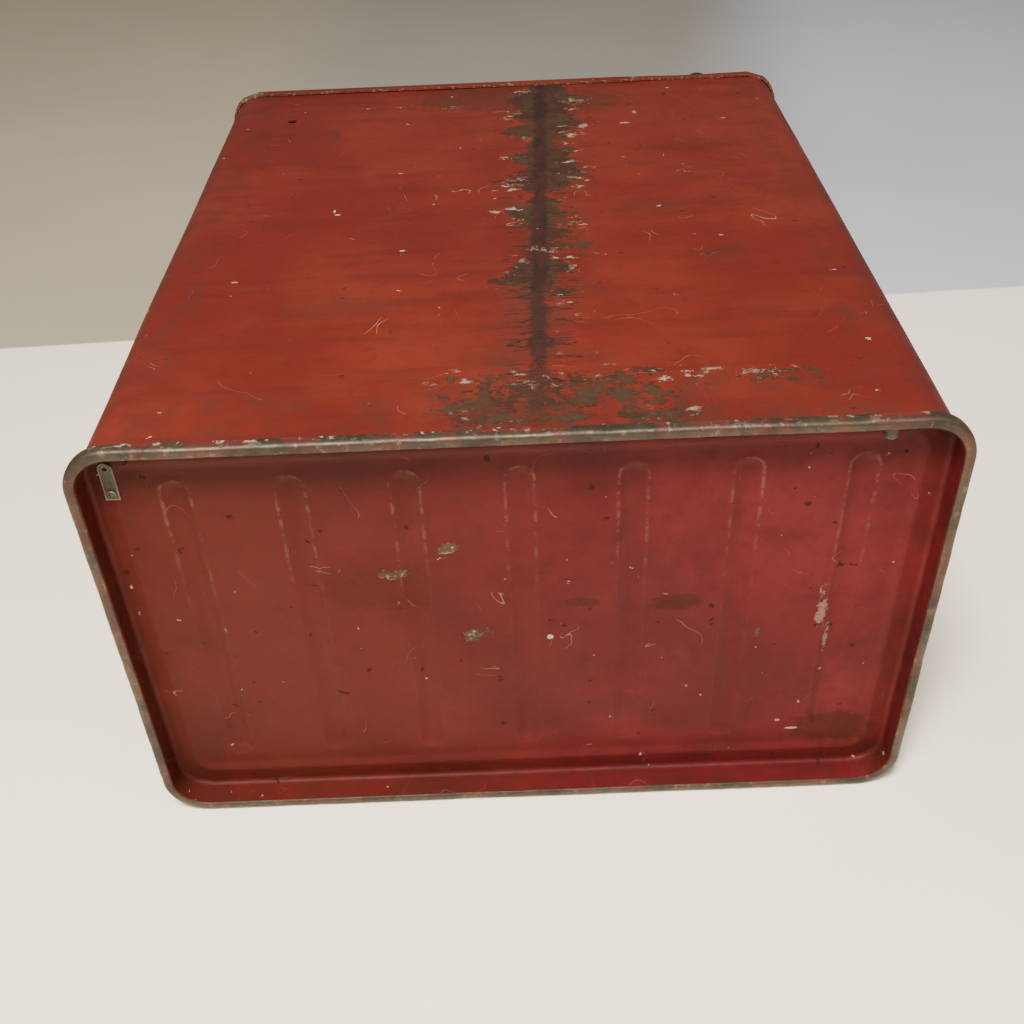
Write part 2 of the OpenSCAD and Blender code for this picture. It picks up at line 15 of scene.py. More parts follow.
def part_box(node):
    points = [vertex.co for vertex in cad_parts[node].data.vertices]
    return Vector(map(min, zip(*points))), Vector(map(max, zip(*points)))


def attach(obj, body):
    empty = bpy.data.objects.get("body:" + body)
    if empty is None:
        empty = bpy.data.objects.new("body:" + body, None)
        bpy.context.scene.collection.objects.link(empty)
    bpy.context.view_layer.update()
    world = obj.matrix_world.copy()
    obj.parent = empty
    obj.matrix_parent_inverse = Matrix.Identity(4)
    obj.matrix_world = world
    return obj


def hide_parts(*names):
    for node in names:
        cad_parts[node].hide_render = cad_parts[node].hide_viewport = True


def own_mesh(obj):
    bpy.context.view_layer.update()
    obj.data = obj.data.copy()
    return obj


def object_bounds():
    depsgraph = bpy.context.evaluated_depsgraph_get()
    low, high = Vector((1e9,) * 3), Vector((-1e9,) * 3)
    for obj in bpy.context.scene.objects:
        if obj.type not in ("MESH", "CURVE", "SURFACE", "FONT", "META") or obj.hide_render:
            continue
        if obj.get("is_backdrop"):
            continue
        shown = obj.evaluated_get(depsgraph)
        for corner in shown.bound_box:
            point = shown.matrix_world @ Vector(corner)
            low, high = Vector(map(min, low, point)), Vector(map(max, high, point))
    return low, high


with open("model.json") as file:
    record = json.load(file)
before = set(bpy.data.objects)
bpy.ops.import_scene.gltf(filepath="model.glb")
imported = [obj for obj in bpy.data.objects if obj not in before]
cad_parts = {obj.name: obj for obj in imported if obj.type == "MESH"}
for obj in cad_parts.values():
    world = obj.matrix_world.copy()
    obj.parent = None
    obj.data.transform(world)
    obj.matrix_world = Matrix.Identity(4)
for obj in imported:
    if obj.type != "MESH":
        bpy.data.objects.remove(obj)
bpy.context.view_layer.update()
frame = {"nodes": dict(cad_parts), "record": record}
LOG = logging.getLogger("vending_box")

MM = 0.001
Point = tuple[float, float, float]
Colour = tuple[float, float, float]
Socket = bpy.types.NodeSocket
Feed = Socket | float | Sequence[float]


class Body(Enum):
    """The moving bodies of the frame."""

    CABINET = "cabinet"
    DOOR = "front_door"
    FLAP = "flap"
    TIN = "tin"
    LID = "top_lid"
    LOCK = "lock"
    KEY = "key"


def ripple(x: float, y: float, z: float, scale: float, seed: float = 0.0) -> float:
    """Smooth noise from about -1 to 1 at a place in metres, with scale in waves a metre."""
    return noise.noise(Vector((x * scale + seed, y * scale - seed, z * scale + 2 * seed)))


def smooth_step(value: float, low: float, high: float) -> float:
    """Rises smoothly from 0 at low to 1 at high."""
    t = min(1.0, max(0.0, (value - low) / (high - low)))
    return t * t * (3 - 2 * t)


def spread(start: float, end: float, step: float, marks: Sequence[float] = ()) -> list[float]:
    """Values from start to end about a step apart, with every mark between them hit exactly.

    Args:
        start: the first value.
        end: the last value, above or below the first.
        step: the largest distance between neighbours.
        marks: values that must be among the result.

    Returns:
        The values in order, with both ends.
    """
    inside = sorted({m for m in marks if min(start, end) < m < max(start, end)}, reverse=end < start)
    knots = [start, *inside, end]
    values = [start]
    for a, b in zip(knots, knots[1:]):
        count = max(1, math.ceil(abs(b - a) / step - 1e-6))
        values += [a + (b - a) * (i + 1) / count for i in range(count)]
    return values


@dataclass(frozen=True)
class Station:
    """A place on an outline: where it is and which way is out."""

    x: float
    y: float
    nx: float
    ny: float


@dataclass(frozen=True)
class Outline:
    """A rectangle with round corners, centred on the upright axis."""

    half_w: float
    half_d: float
    radius: float

    def stations(self, step: float, marks: Sequence[float] = ()) -> list[Station]:
        """Stations round the outline, anticlockwise from the right side's front end.

        Args:
            step: the largest distance between stations on the straights.
            marks: X values that the front and back sides must hit.

        Returns:
            The stations, with no repeat of the first at the end.
        """
        w, d, r = self.half_w, self.half_d, self.radius
        found: list[Station] = []
        found += [Station(w, y, 1, 0) for y in spread(-(d - r), d - r, step)]
        found += self._corner(w - r, d - r, 0, step)
        found += [Station(x, d, 0, 1) for x in spread(w - r, -(w - r), step, marks)]
        found += self._corner(-(w - r), d - r, 90, step)
        found += [Station(-w, y, -1, 0) for y in spread(d - r, -(d - r), step)]
        found += self._corner(-(w - r), -(d - r), 180, step)
        found += [Station(x, -d, 0, -1) for x in spread(-(w - r), w - r, step, marks)]
        found += self._corner(w - r, -(d - r), 270, step)
        return found

    def _corner(self, cx: float, cy: float, start: float, step: float) -> list[Station]:
        """The stations of one round corner, without its two ends."""
        count = max(6, math.ceil(self.radius * math.pi / 2 / step))
        turns = [math.radians(start + 90 * i / count) for i in range(1, count)]
        return [Station(cx + self.radius * math.cos(t), cy + self.radius * math.sin(t),
                        math.cos(t), math.sin(t)) for t in turns]


@dataclass
class Sheet:
    """A mesh in the making, kept as points and faces."""

    name: str
    points: list[Point] = field(default_factory=list)
    faces: list[tuple[int, ...]] = field(default_factory=list)

    def band(self, rows: Sequence[Sequence[Point]], closed: bool = True,
             keep: Callable[[int, int], bool] | None = None) -> list[list[int]]:
        """Adds rows of points and the quads between them.

        Args:
            rows: rows of the same length, from the first ring to the last.
            closed: whether each row joins its own start.
            keep: says whether the quad at a row and column is wanted.

        Returns:
            The number of each point, row by row.
        """
        numbers = []
        for row in rows:
            numbers.append(list(range(len(self.points), len(self.points) + len(row))))
            self.points.extend(row)
        columns = len(rows[0])
        for i in range(len(rows) - 1):
            for j in range(columns if closed else columns - 1):
                k = (j + 1) % columns
                if keep is None or keep(i, j):
                    self.faces.append((numbers[i][j], numbers[i][k], numbers[i + 1][k], numbers[i + 1][j]))
        return numbers

    def box(self, low: Sequence[float], high: Sequence[float]) -> None:
        """Adds a closed block between two corners."""
        x, y, z = zip(low, high)
        n = len(self.points)
        self.points += [(x[i], y[j], z[k]) for i in (0, 1) for j in (0, 1) for k in (0, 1)]
        for quad in ((0, 1, 3, 2), (4, 6, 7, 5), (0, 4, 5, 1), (2, 3, 7, 6), (0, 2, 6, 4), (1, 5, 7, 3)):
            self.faces.append(tuple(n + q for q in quad))

    def turned(self, axis_at: Point, axis: str, profile: Sequence[tuple[float, float]],
               count: int = 48) -> None:
        """Adds a closed turned shape.

        Args:
            axis_at: a point on the axis, from which heights count.
            axis: "y" or "z", the way the axis runs.
            profile: (radius, height) from one end's middle to the other's.
            count: the number of sides.
        """
        rings = []
        for radius, height in profile:
            ring = []
            for i in range(count):
                t = 2 * math.pi * i / count
                a, b = radius * math.cos(t), radius * math.sin(t)
                place = (a, b, height) if axis == "z" else (b, height, a)
                ring.append(tuple(o + p for o, p in zip(axis_at, place)))
            rings.append(ring)
        numbers = self.band(rings)
        self.faces += [tuple(reversed(numbers[0])), tuple(numbers[-1])]

    def plate(self, half_w: float, half_d: float, radius: float, step: float,
              height: Callable[[float, float], float]) -> list[int]:
        """Adds a level plate with round corners, as a grid that faces up.

        Args:
            half_w: half its width.
            half_d: half its depth.
            radius: the radius of its corners.
            step: the size of a cell.
            height: the plate's Z at a place.

        Returns:
            The numbers of the points along its edge, anticlockwise.
        """
        rows = []
        soft = half_w - 2 * radius
        for y in spread(-half_d, half_d, step):
            over = max(0.0, abs(y) - (half_d - radius))
            reach = half_w - radius + math.sqrt(max(0.0, radius * radius - over * over))
            row = []
            for x in spread(-half_w, half_w, step):
                if abs(x) > soft:
                    x = math.copysign(soft + (abs(x) - soft) * (reach - soft) / (half_w - soft), x)
                row.append((x, y, height(x, y)))
            rows.append(row)
        numbers = self.band(rows, closed=False)
        return [*numbers[0][:-1], *(r[-1] for r in numbers[:-1]), *reversed(numbers[-1][1:]),
                *(r[0] for r in reversed(numbers[1:]))]

    def skirt(self, edge: list[int], rings: Sequence[Sequence[Point]]) -> None:
        """Adds rings of points outside a plate's edge, each joined to the one before."""
        for ring in rings:
            now = list(range(len(self.points), len(self.points) + len(ring)))
            self.points.extend(ring)
            for j in range(len(now)):
                k = (j + 1) % len(now)
                self.faces.append((edge[j], now[j], now[k], edge[k]))
            edge = now

    def build(self, thickness: float = 0.0, bevel: float = 0.0, cuts: Sequence["Sheet"] = (),
              smooth_angle: float = 40.0, segments: int = 3) -> bpy.types.Object:
        """Makes the object, with its modifiers already applied.

        Args:
            thickness: sheet thickness laid on the inner side, or 0 for a shape that is closed.
            bevel: width of the rounding on sharp edges, or 0 for none.
            cuts: closed shapes taken away from it.
            smooth_angle: edges sharper than this stay sharp to the eye, in degrees.
            segments: steps in the rounding.

        Returns:
            The finished mesh object, linked to the scene.
        """
        mesh = bpy.data.meshes.new(self.name)
        mesh.from_pydata(self.points, [], self.faces)
        mesh.validate()
        obj = bpy.data.objects.new(self.name, mesh)
        bpy.context.scene.collection.objects.link(obj)
        weld = obj.modifiers.new("weld", "WELD")
        weld.merge_threshold = 2e-6
        if thickness:
            solid = obj.modifiers.new("thickness", "SOLIDIFY")
            solid.thickness, solid.offset, solid.use_even_offset = thickness, -1, True
        helpers = []
        for cut in cuts:
            helper = cut.build()
            helpers.append(helper)
            boolean = obj.modifiers.new("cut", "BOOLEAN")
            boolean.object, boolean.operation, boolean.solver = helper, "DIFFERENCE", "EXACT"
        if bevel:
            rounding = obj.modifiers.new("bevel", "BEVEL")
            rounding.width, rounding.segments, rounding.limit_method = bevel, segments, "ANGLE"
            rounding.angle_limit = math.radians(35)
            rounding.harden_normals = False
        settle(obj)
        shape = bmesh.new()
        shape.from_mesh(obj.data)
        bmesh.ops.recalc_face_normals(shape, faces=shape.faces)
        shape.to_mesh(obj.data)
        shape.free()
        for helper in helpers:
            bpy.data.objects.remove(helper)
        for polygon in obj.data.polygons:
            polygon.use_smooth = True
        obj.data.set_sharp_from_angle(angle=math.radians(smooth_angle))
        return obj


def settle(obj: bpy.types.Object) -> None:
    """Applies an object's modifiers to its mesh."""
    bpy.context.view_layer.update()
    final = bpy.data.meshes.new_from_object(obj.evaluated_get(bpy.context.evaluated_depsgraph_get()))
    obj.modifiers.clear()
    old = obj.data
    obj.data = final
    final.name = obj.name
    bpy.data.meshes.remove(old)


def place(obj: bpy.types.Object, body: Body, slot: str, finish: "Finish", *nodes: str) -> bpy.types.Object:
    """Gives a finished piece its body and its material, and hides the nodes that it stands for.

    Args:
        obj: the piece, already where it belongs.
        body: the body that it moves with.
        slot: the material slot that it takes its finish from; not used.
        finish: the finish that it wears.
        nodes: the plain solids that it stands for.

    Returns:
        The same piece.
    """
    obj.data.materials.clear()
    obj.data.materials.append(finish.material())
    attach(obj, body.value)
    if nodes:
        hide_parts(*nodes)
    LOG.info("built %s with %d faces on %s", obj.name, len(obj.data.polygons), body.value)
    return obj


# ---------------------------------------------------------------- node graphs


@dataclass
class Graph:
    """Short-hand for wiring one node tree."""

    tree: bpy.types.NodeTree

    def node(self, kind: str, **settings: object) -> bpy.types.Node:
        """Adds a node and sets its plain properties."""
        made = self.tree.nodes.new(kind)
        for key, value in settings.items():
            setattr(made, key, value)
        return made

    def feed(self, value: Feed, socket: Socket) -> None:
        """Links a socket, or sets it when the value is a number or a colour."""
        if isinstance(value, bpy.types.NodeSocket):
            self.tree.links.new(value, socket)
        elif isinstance(value, (int, float)):
            socket.default_value = value
        else:
            size = len(socket.default_value)
            socket.default_value = tuple(value)[:size] if len(value) >= size else (*value, 1.0)

    def math(self, operation: str, a: Feed, b: Feed = 0.5, c: Feed = 0.5, clamp: bool = False) -> Socket:
        """One maths node."""
        made = self.node("ShaderNodeMath", operation=operation, use_clamp=clamp)
        for value, socket in zip((a, b, c), made.inputs):
            self.feed(value, socket)
        return made.outputs[0]

    def add(self, a: Feed, b: Feed) -> Socket:
        """a + b."""
        return self.math("ADD", a, b)

    def times(self, a: Feed, *others: Feed) -> Socket:
        """The product of all its values."""
        for b in others:
            a = self.math("MULTIPLY", a, b)
        return a

    def most(self, a: Feed, *others: Feed) -> Socket:
        """The largest of its values."""
        for b in others:
            a = self.math("MAXIMUM", a, b)
        return a

    def without(self, a: Feed, b: Feed) -> Socket:
        """Mask a where mask b is not."""
        return self.times(a, self.math("SUBTRACT", 1.0, b, clamp=True))

    def mix(self, factor: Feed, a: Feed, b: Feed, blend: str = "MIX") -> Socket:
        """A colour between a and b."""
        made = self.node("ShaderNodeMix", data_type="RGBA", blend_type=blend)
        made.clamp_factor = True
        self.feed(factor, made.inputs[0])
        self.feed(a, made.inputs[6])
        self.feed(b, made.inputs[7])
        return made.outputs[2]

    def span(self, value: Feed, low: Feed, high: Feed, to_low: Feed = 0.0, to_high: Feed = 1.0) -> Socket:
        """Maps a range smoothly onto another, held at both ends."""
        made = self.node("ShaderNodeMapRange", interpolation_type="SMOOTHSTEP")
        for entry, socket in zip((value, low, high, to_low, to_high), made.inputs):
            self.feed(entry, socket)
        return made.outputs[0]

    def place(self) -> Socket:
        """The place on the piece, in metres of the box's own frame."""
        return self.node("ShaderNodeTexCoord").outputs["Object"]

    def axes(self, vector: Socket) -> tuple[Socket, Socket, Socket]:
        """The three parts of a vector."""
        made = self.node("ShaderNodeSeparateXYZ")
        self.feed(vector, made.inputs[0])
        return made.outputs[0], made.outputs[1], made.outputs[2]

    def stretch(self, vector: Socket, by: Point) -> Socket:
        """A vector times a factor on each axis."""
        made = self.node("ShaderNodeVectorMath", operation="MULTIPLY")
        self.feed(vector, made.inputs[0])
        self.feed(by, made.inputs[1])
        return made.outputs[0]

    def shift(self, vector: Socket, by: Feed) -> Socket:
        """A vector plus an offset."""
        made = self.node("ShaderNodeVectorMath", operation="ADD")
        self.feed(vector, made.inputs[0])
        self.feed(by, made.inputs[1])
        return made.outputs[0]

    def noise(self, vector: Socket, scale: Feed, detail: float = 4.0, rough: float = 0.55,
              distort: float = 0.0) -> Socket:
        """Cloudy noise from 0 to 1, with scale in waves a metre."""
        made = self.node("ShaderNodeTexNoise")
        self.feed(vector, made.inputs["Vector"])
        self.feed(scale, made.inputs["Scale"])
        made.inputs["Detail"].default_value = detail
        made.inputs["Roughness"].default_value = rough
        made.inputs["Distortion"].default_value = distort
        return made.outputs[0]

    def cells(self, vector: Socket, scale: Feed, feature: str = "F1") -> tuple[Socket, Socket]:
        """Distance to the nearest cell's middle in cells, and that cell's own random value."""
        made = self.node("ShaderNodeTexVoronoi", feature=feature)
        self.feed(vector, made.inputs["Vector"])
        self.feed(scale, made.inputs["Scale"])
        if feature == "DISTANCE_TO_EDGE":
            return made.outputs["Distance"], made.outputs["Distance"]
        part = self.node("ShaderNodeSeparateColor")
        self.feed(made.outputs["Color"], part.inputs[0])
        return made.outputs["Distance"], part.outputs[0]

    def use(self, group: "Effect", **inputs: Feed) -> bpy.types.Node:
        """Places a shared effect with its own values."""
        made = self.node("ShaderNodeGroup")
        made.node_tree = group.tree()
        for name, value in inputs.items():
            self.feed(value, made.inputs[name.replace("_", " ")])
        return made

    def bump(self, height: Feed, depth: float, normal: Socket | None = None) -> Socket:
        """A normal from a height from 0 to 1 that stands for a depth in metres."""
        made = self.node("ShaderNodeBump")
        made.inputs["Strength"].default_value = 1.0
        made.inputs["Distance"].default_value = depth
        self.feed(height, made.inputs["Height"])
        if normal is not None:
            self.feed(normal, made.inputs["Normal"])
        return made.outputs[0]


@dataclass(frozen=True)
class Effect:
    """A shared effect: a node group that several materials place with their own values."""

    name: str
    inputs: tuple[tuple[str, str, float], ...]
    outputs: tuple[tuple[str, str], ...]
    wire: Callable[[Graph, bpy.types.Node, bpy.types.Node], None]

    def tree(self) -> bpy.types.NodeTree:
        """The group's tree, wired the first time it is asked for."""
        known = bpy.data.node_groups.get(self.name)
        if known:
            return known
        made = bpy.data.node_groups.new(self.name, "ShaderNodeTree")
        for label, kind, default in self.inputs:
            socket = made.interface.new_socket(name=label, in_out="INPUT", socket_type=kind)
            if kind == "NodeSocketFloat":
                socket.default_value = default
        for label, kind in self.outputs:
            made.interface.new_socket(name=label, in_out="OUTPUT", socket_type=kind)
        graph = Graph(made)
        source = graph.node("NodeGroupInput")
        sink = graph.node("NodeGroupOutput")
        self.wire(graph, source, sink)
        return made


FLOAT, VECTOR, COLOUR = "NodeSocketFloat", "NodeSocketVector", "NodeSocketColor"


def wire_speckle(g: Graph, source: bpy.types.Node, sink: bpy.types.Node) -> None:
    """Small separate spots with ragged edges.

    Args:
        g: the group's graph.
        source: its inputs Vector, Scale, Share and Size.
        sink: its output Mask.
    """
    wobble = g.node("ShaderNodeTexNoise")
    g.feed(source.outputs["Vector"], wobble.inputs["Vector"])
    g.feed(g.times(source.outputs["Scale"], 2.5), wobble.inputs["Scale"])
    offset = g.node("ShaderNodeVectorMath", operation="SCALE")
    g.feed(g.shift(wobble.outputs["Color"], (-0.5, -0.5, -0.5)), offset.inputs[0])
    g.feed(g.math("DIVIDE", 0.9, source.outputs["Scale"]), offset.inputs["Scale"])
    distance, random = g.cells(g.shift(source.outputs["Vector"], offset.outputs[0]),
                               source.outputs["Scale"])
    chosen = g.math("LESS_THAN", random, source.outputs["Share"])
    size = g.times(source.outputs["Size"], g.span(random, 0.0, source.outputs["Share"], 0.35, 1.0))
    spot = g.span(distance, g.times(size, 0.75), size, 1.0, 0.0)
    g.feed(g.times(spot, chosen), sink.inputs["Mask"])


def wire_edge_wear(g: Graph, source: bpy.types.Node, sink: bpy.types.Node) -> None:
    """Worn edges, broken up by noise.

    Args:
        g: the group's graph.
        source: its inputs Vector, Radius, Scale and Amount.
        sink: its output Mask.
    """
    rounded = g.node("ShaderNodeBevel")
    rounded.samples = 4
    g.feed(source.outputs["Radius"], rounded.inputs["Radius"])
    facing = g.node("ShaderNodeVectorMath", operation="DOT_PRODUCT")
    g.feed(rounded.outputs[0], facing.inputs[0])
    g.feed(g.node("ShaderNodeNewGeometry").outputs["Normal"], facing.inputs[1])
    edge = g.span(facing.outputs["Value"], 0.80, 0.995, 1.0, 0.0)
    broken = g.noise(source.outputs["Vector"], source.outputs["Scale"], 6.0, 0.65)
    low = g.math("SUBTRACT", 0.95, g.times(source.outputs["Amount"], 0.6))
    g.feed(g.span(g.add(g.times(edge, 0.45), broken), low, g.add(low, 0.06)), sink.inputs["Mask"])


def wire_grime(g: Graph, source: bpy.types.Node, sink: bpy.types.Node) -> None:
    """Cloudy dirt and stains in two sizes.

    Args:
        g: the group's graph.
        source: its inputs Vector, Scale and Amount.
        sink: its output Mask.
    """
    vector, scale, amount = (source.outputs[i] for i in range(3))
    clouds = g.noise(vector, scale, 6.0, 0.62, 0.6)
    fine = g.noise(g.shift(vector, (3.1, 1.7, 0.4)), g.times(scale, 7.0), 5.0, 0.7)
    both = g.add(g.times(clouds, 0.72), g.times(fine, 0.28))
    low = g.math("SUBTRACT", 0.72, g.times(amount, 0.4))
    g.feed(g.span(both, low, g.add(low, 0.22)), sink.inputs["Mask"])


def wire_scratches(g: Graph, source: bpy.types.Node, sink: bpy.types.Node) -> None:
    """Thin curving scratches and hairs, here and there.

    Args:
        g: the group's graph.
        source: its inputs Vector, Scale, Width and Amount.
        sink: its output Mask.
    """
    vector, scale = source.outputs["Vector"], source.outputs["Scale"]
    field_a = g.noise(vector, scale, 1.5, 0.4, 1.2)
    near = g.math("ABSOLUTE", g.math("SUBTRACT", field_a, 0.5))
    line = g.span(near, 0.0, source.outputs["Width"], 1.0, 0.0)
    where = g.noise(g.shift(vector, (7.3, 2.2, 5.1)), g.times(scale, 1.7), 2.0, 0.5)
    low = g.math("SUBTRACT", 0.80, g.times(source.outputs["Amount"], 0.4))
    g.feed(g.times(line, g.span(where, low, g.add(low, 0.03))), sink.inputs["Mask"])


def wire_flakes(g: Graph, source: bpy.types.Node, sink: bpy.types.Node) -> None:
    """Paint that has flaked away, with the broken edge of the paint round each patch.

    Args:
        g: the group's graph.
        source: its inputs Vector, Scale and Likely.
        sink: its outputs Bare, Edge and Inside.
    """
    vector, scale = source.outputs["Vector"], source.outputs["Scale"]
    big = g.noise(vector, scale, 5.0, 0.62, 0.5)
    small = g.noise(g.shift(vector, (1.9, 4.4, 2.7)), g.times(scale, 4.6), 5.0, 0.7, 0.4)
    height = g.add(g.times(big, 0.62), g.times(small, 0.38))
    level = g.math("SUBTRACT", 0.86, g.times(source.outputs["Likely"], 0.5))
    g.feed(g.span(height, level, g.add(level, 0.012)), sink.inputs["Bare"])
    inner = g.span(height, g.add(level, 0.018), g.add(level, 0.034))
    g.feed(inner, sink.inputs["Inside"])
    outer = g.span(height, g.math("SUBTRACT", level, 0.006), g.add(level, 0.004))
    g.feed(g.without(outer, inner), sink.inputs["Edge"])


def wire_mark(g: Graph, source: bpy.types.Node, sink: bpy.types.Node) -> None:
    """One ragged mark at a place of its own.

    Args:
        g: the group's graph.
        source: its inputs Vector, Centre, Size, Ragged and Soft.
        sink: its output Mask.
    """
    away = g.node("ShaderNodeVectorMath", operation="SUBTRACT")
    g.feed(source.outputs["Vector"], away.inputs[0])
    g.feed(source.outputs["Centre"], away.inputs[1])
    scaled = g.node("ShaderNodeVectorMath", operation="DIVIDE")
    g.feed(away.outputs[0], scaled.inputs[0])
    g.feed(source.outputs["Size"], scaled.inputs[1])
    length = g.node("ShaderNodeVectorMath", operation="LENGTH")
    g.feed(scaled.outputs[0], length.inputs[0])
    rough = g.math("SUBTRACT", g.noise(source.outputs["Vector"], 170.0, 6.0, 0.78, 0.8), 0.5)
    shape = g.add(length.outputs["Value"], g.times(rough, source.outputs["Ragged"], 2.4))
    g.feed(g.span(shape, 0.62, g.add(0.70, source.outputs["Soft"]), 1.0, 0.0), sink.inputs["Mask"])


SPECKLE = Effect("speckle", (("Vector", VECTOR, 0), ("Scale", FLOAT, 100), ("Share", FLOAT, 0.1),
                             ("Size", FLOAT, 0.3)), (("Mask", FLOAT),), wire_speckle)
EDGE_WEAR = Effect("edge_wear", (("Vector", VECTOR, 0), ("Radius", FLOAT, 0.002), ("Scale", FLOAT, 200),
                                 ("Amount", FLOAT, 0.5)), (("Mask", FLOAT),), wire_edge_wear)
GRIME = Effect("grime", (("Vector", VECTOR, 0), ("Scale", FLOAT, 20), ("Amount", FLOAT, 0.5)),
               (("Mask", FLOAT),), wire_grime)
SCRATCHES = Effect("scratches", (("Vector", VECTOR, 0), ("Scale", FLOAT, 20), ("Width", FLOAT, 0.003),
                                 ("Amount", FLOAT, 0.5)), (("Mask", FLOAT),), wire_scratches)
FLAKES = Effect("flakes", (("Vector", VECTOR, 0), ("Scale", FLOAT, 60), ("Likely", FLOAT, 0.3)),
                (("Bare", FLOAT), ("Edge", FLOAT), ("Inside", FLOAT)), wire_flakes)
MARK = Effect("mark", (("Vector", VECTOR, 0), ("Centre", VECTOR, 0), ("Size", VECTOR, 0),
                       ("Ragged", FLOAT, 1.0), ("Soft", FLOAT, 0.0)), (("Mask", FLOAT),), wire_mark)


# ---------------------------------------------------------------- finishes


@dataclass(frozen=True)
class Mark:
    """A ragged mark on a face: its middle and half sizes in metres, and how ragged and soft it is."""

    centre: Point
    size: Point
    ragged: float = 1.2
    soft: float = 0.05
    depth: float = 1.0

    def mask(self, g: Graph, vector: Socket) -> Socket:
        """The mark's mask in a material."""
        spot = g.use(MARK, Vector=vector, Centre=self.centre, Size=self.size, Ragged=self.ragged,
                     Soft=self.soft)
        return g.times(spot.outputs[0], self.depth)


def marks_mask(g: Graph, where: Socket, marks: Sequence[Mark]) -> Feed:
    """The masks of several marks together, or 0 where there are none."""
    return g.most(*(mark.mask(g, where) for mark in marks)) if marks else 0.0


@dataclass(frozen=True)
class Finish:
    """A finish that makes one material, the first time it is asked for."""

    name: str

    def material(self) -> bpy.types.Material:
        """The finish's material."""
        known = bpy.data.materials.get(self.name)
        if known:
            return known
        made = bpy.data.materials.new(self.name)
        made.use_nodes = True
        made.node_tree.nodes.clear()
        g = Graph(made.node_tree)
        shader = g.node("ShaderNodeBsdfPrincipled")
        output = g.node("ShaderNodeOutputMaterial")
        g.tree.links.new(shader.outputs[0], output.inputs["Surface"])
        self.wire(g, shader, g.place())
        return made

    def wire(self, g: Graph, shader: bpy.types.Node, where: Socket) -> None:
        """Wires the finish onto its shader; each kind of finish has its own way."""
        raise NotImplementedError


@dataclass(frozen=True)
class Damage:
    """Where a paint is hurt: masks of bare metal, rusty metal, pale flake edges with painted glints, and
    cracks.
    """

    bare: Feed
    rust: Feed
    pale: Feed
    dark: Feed


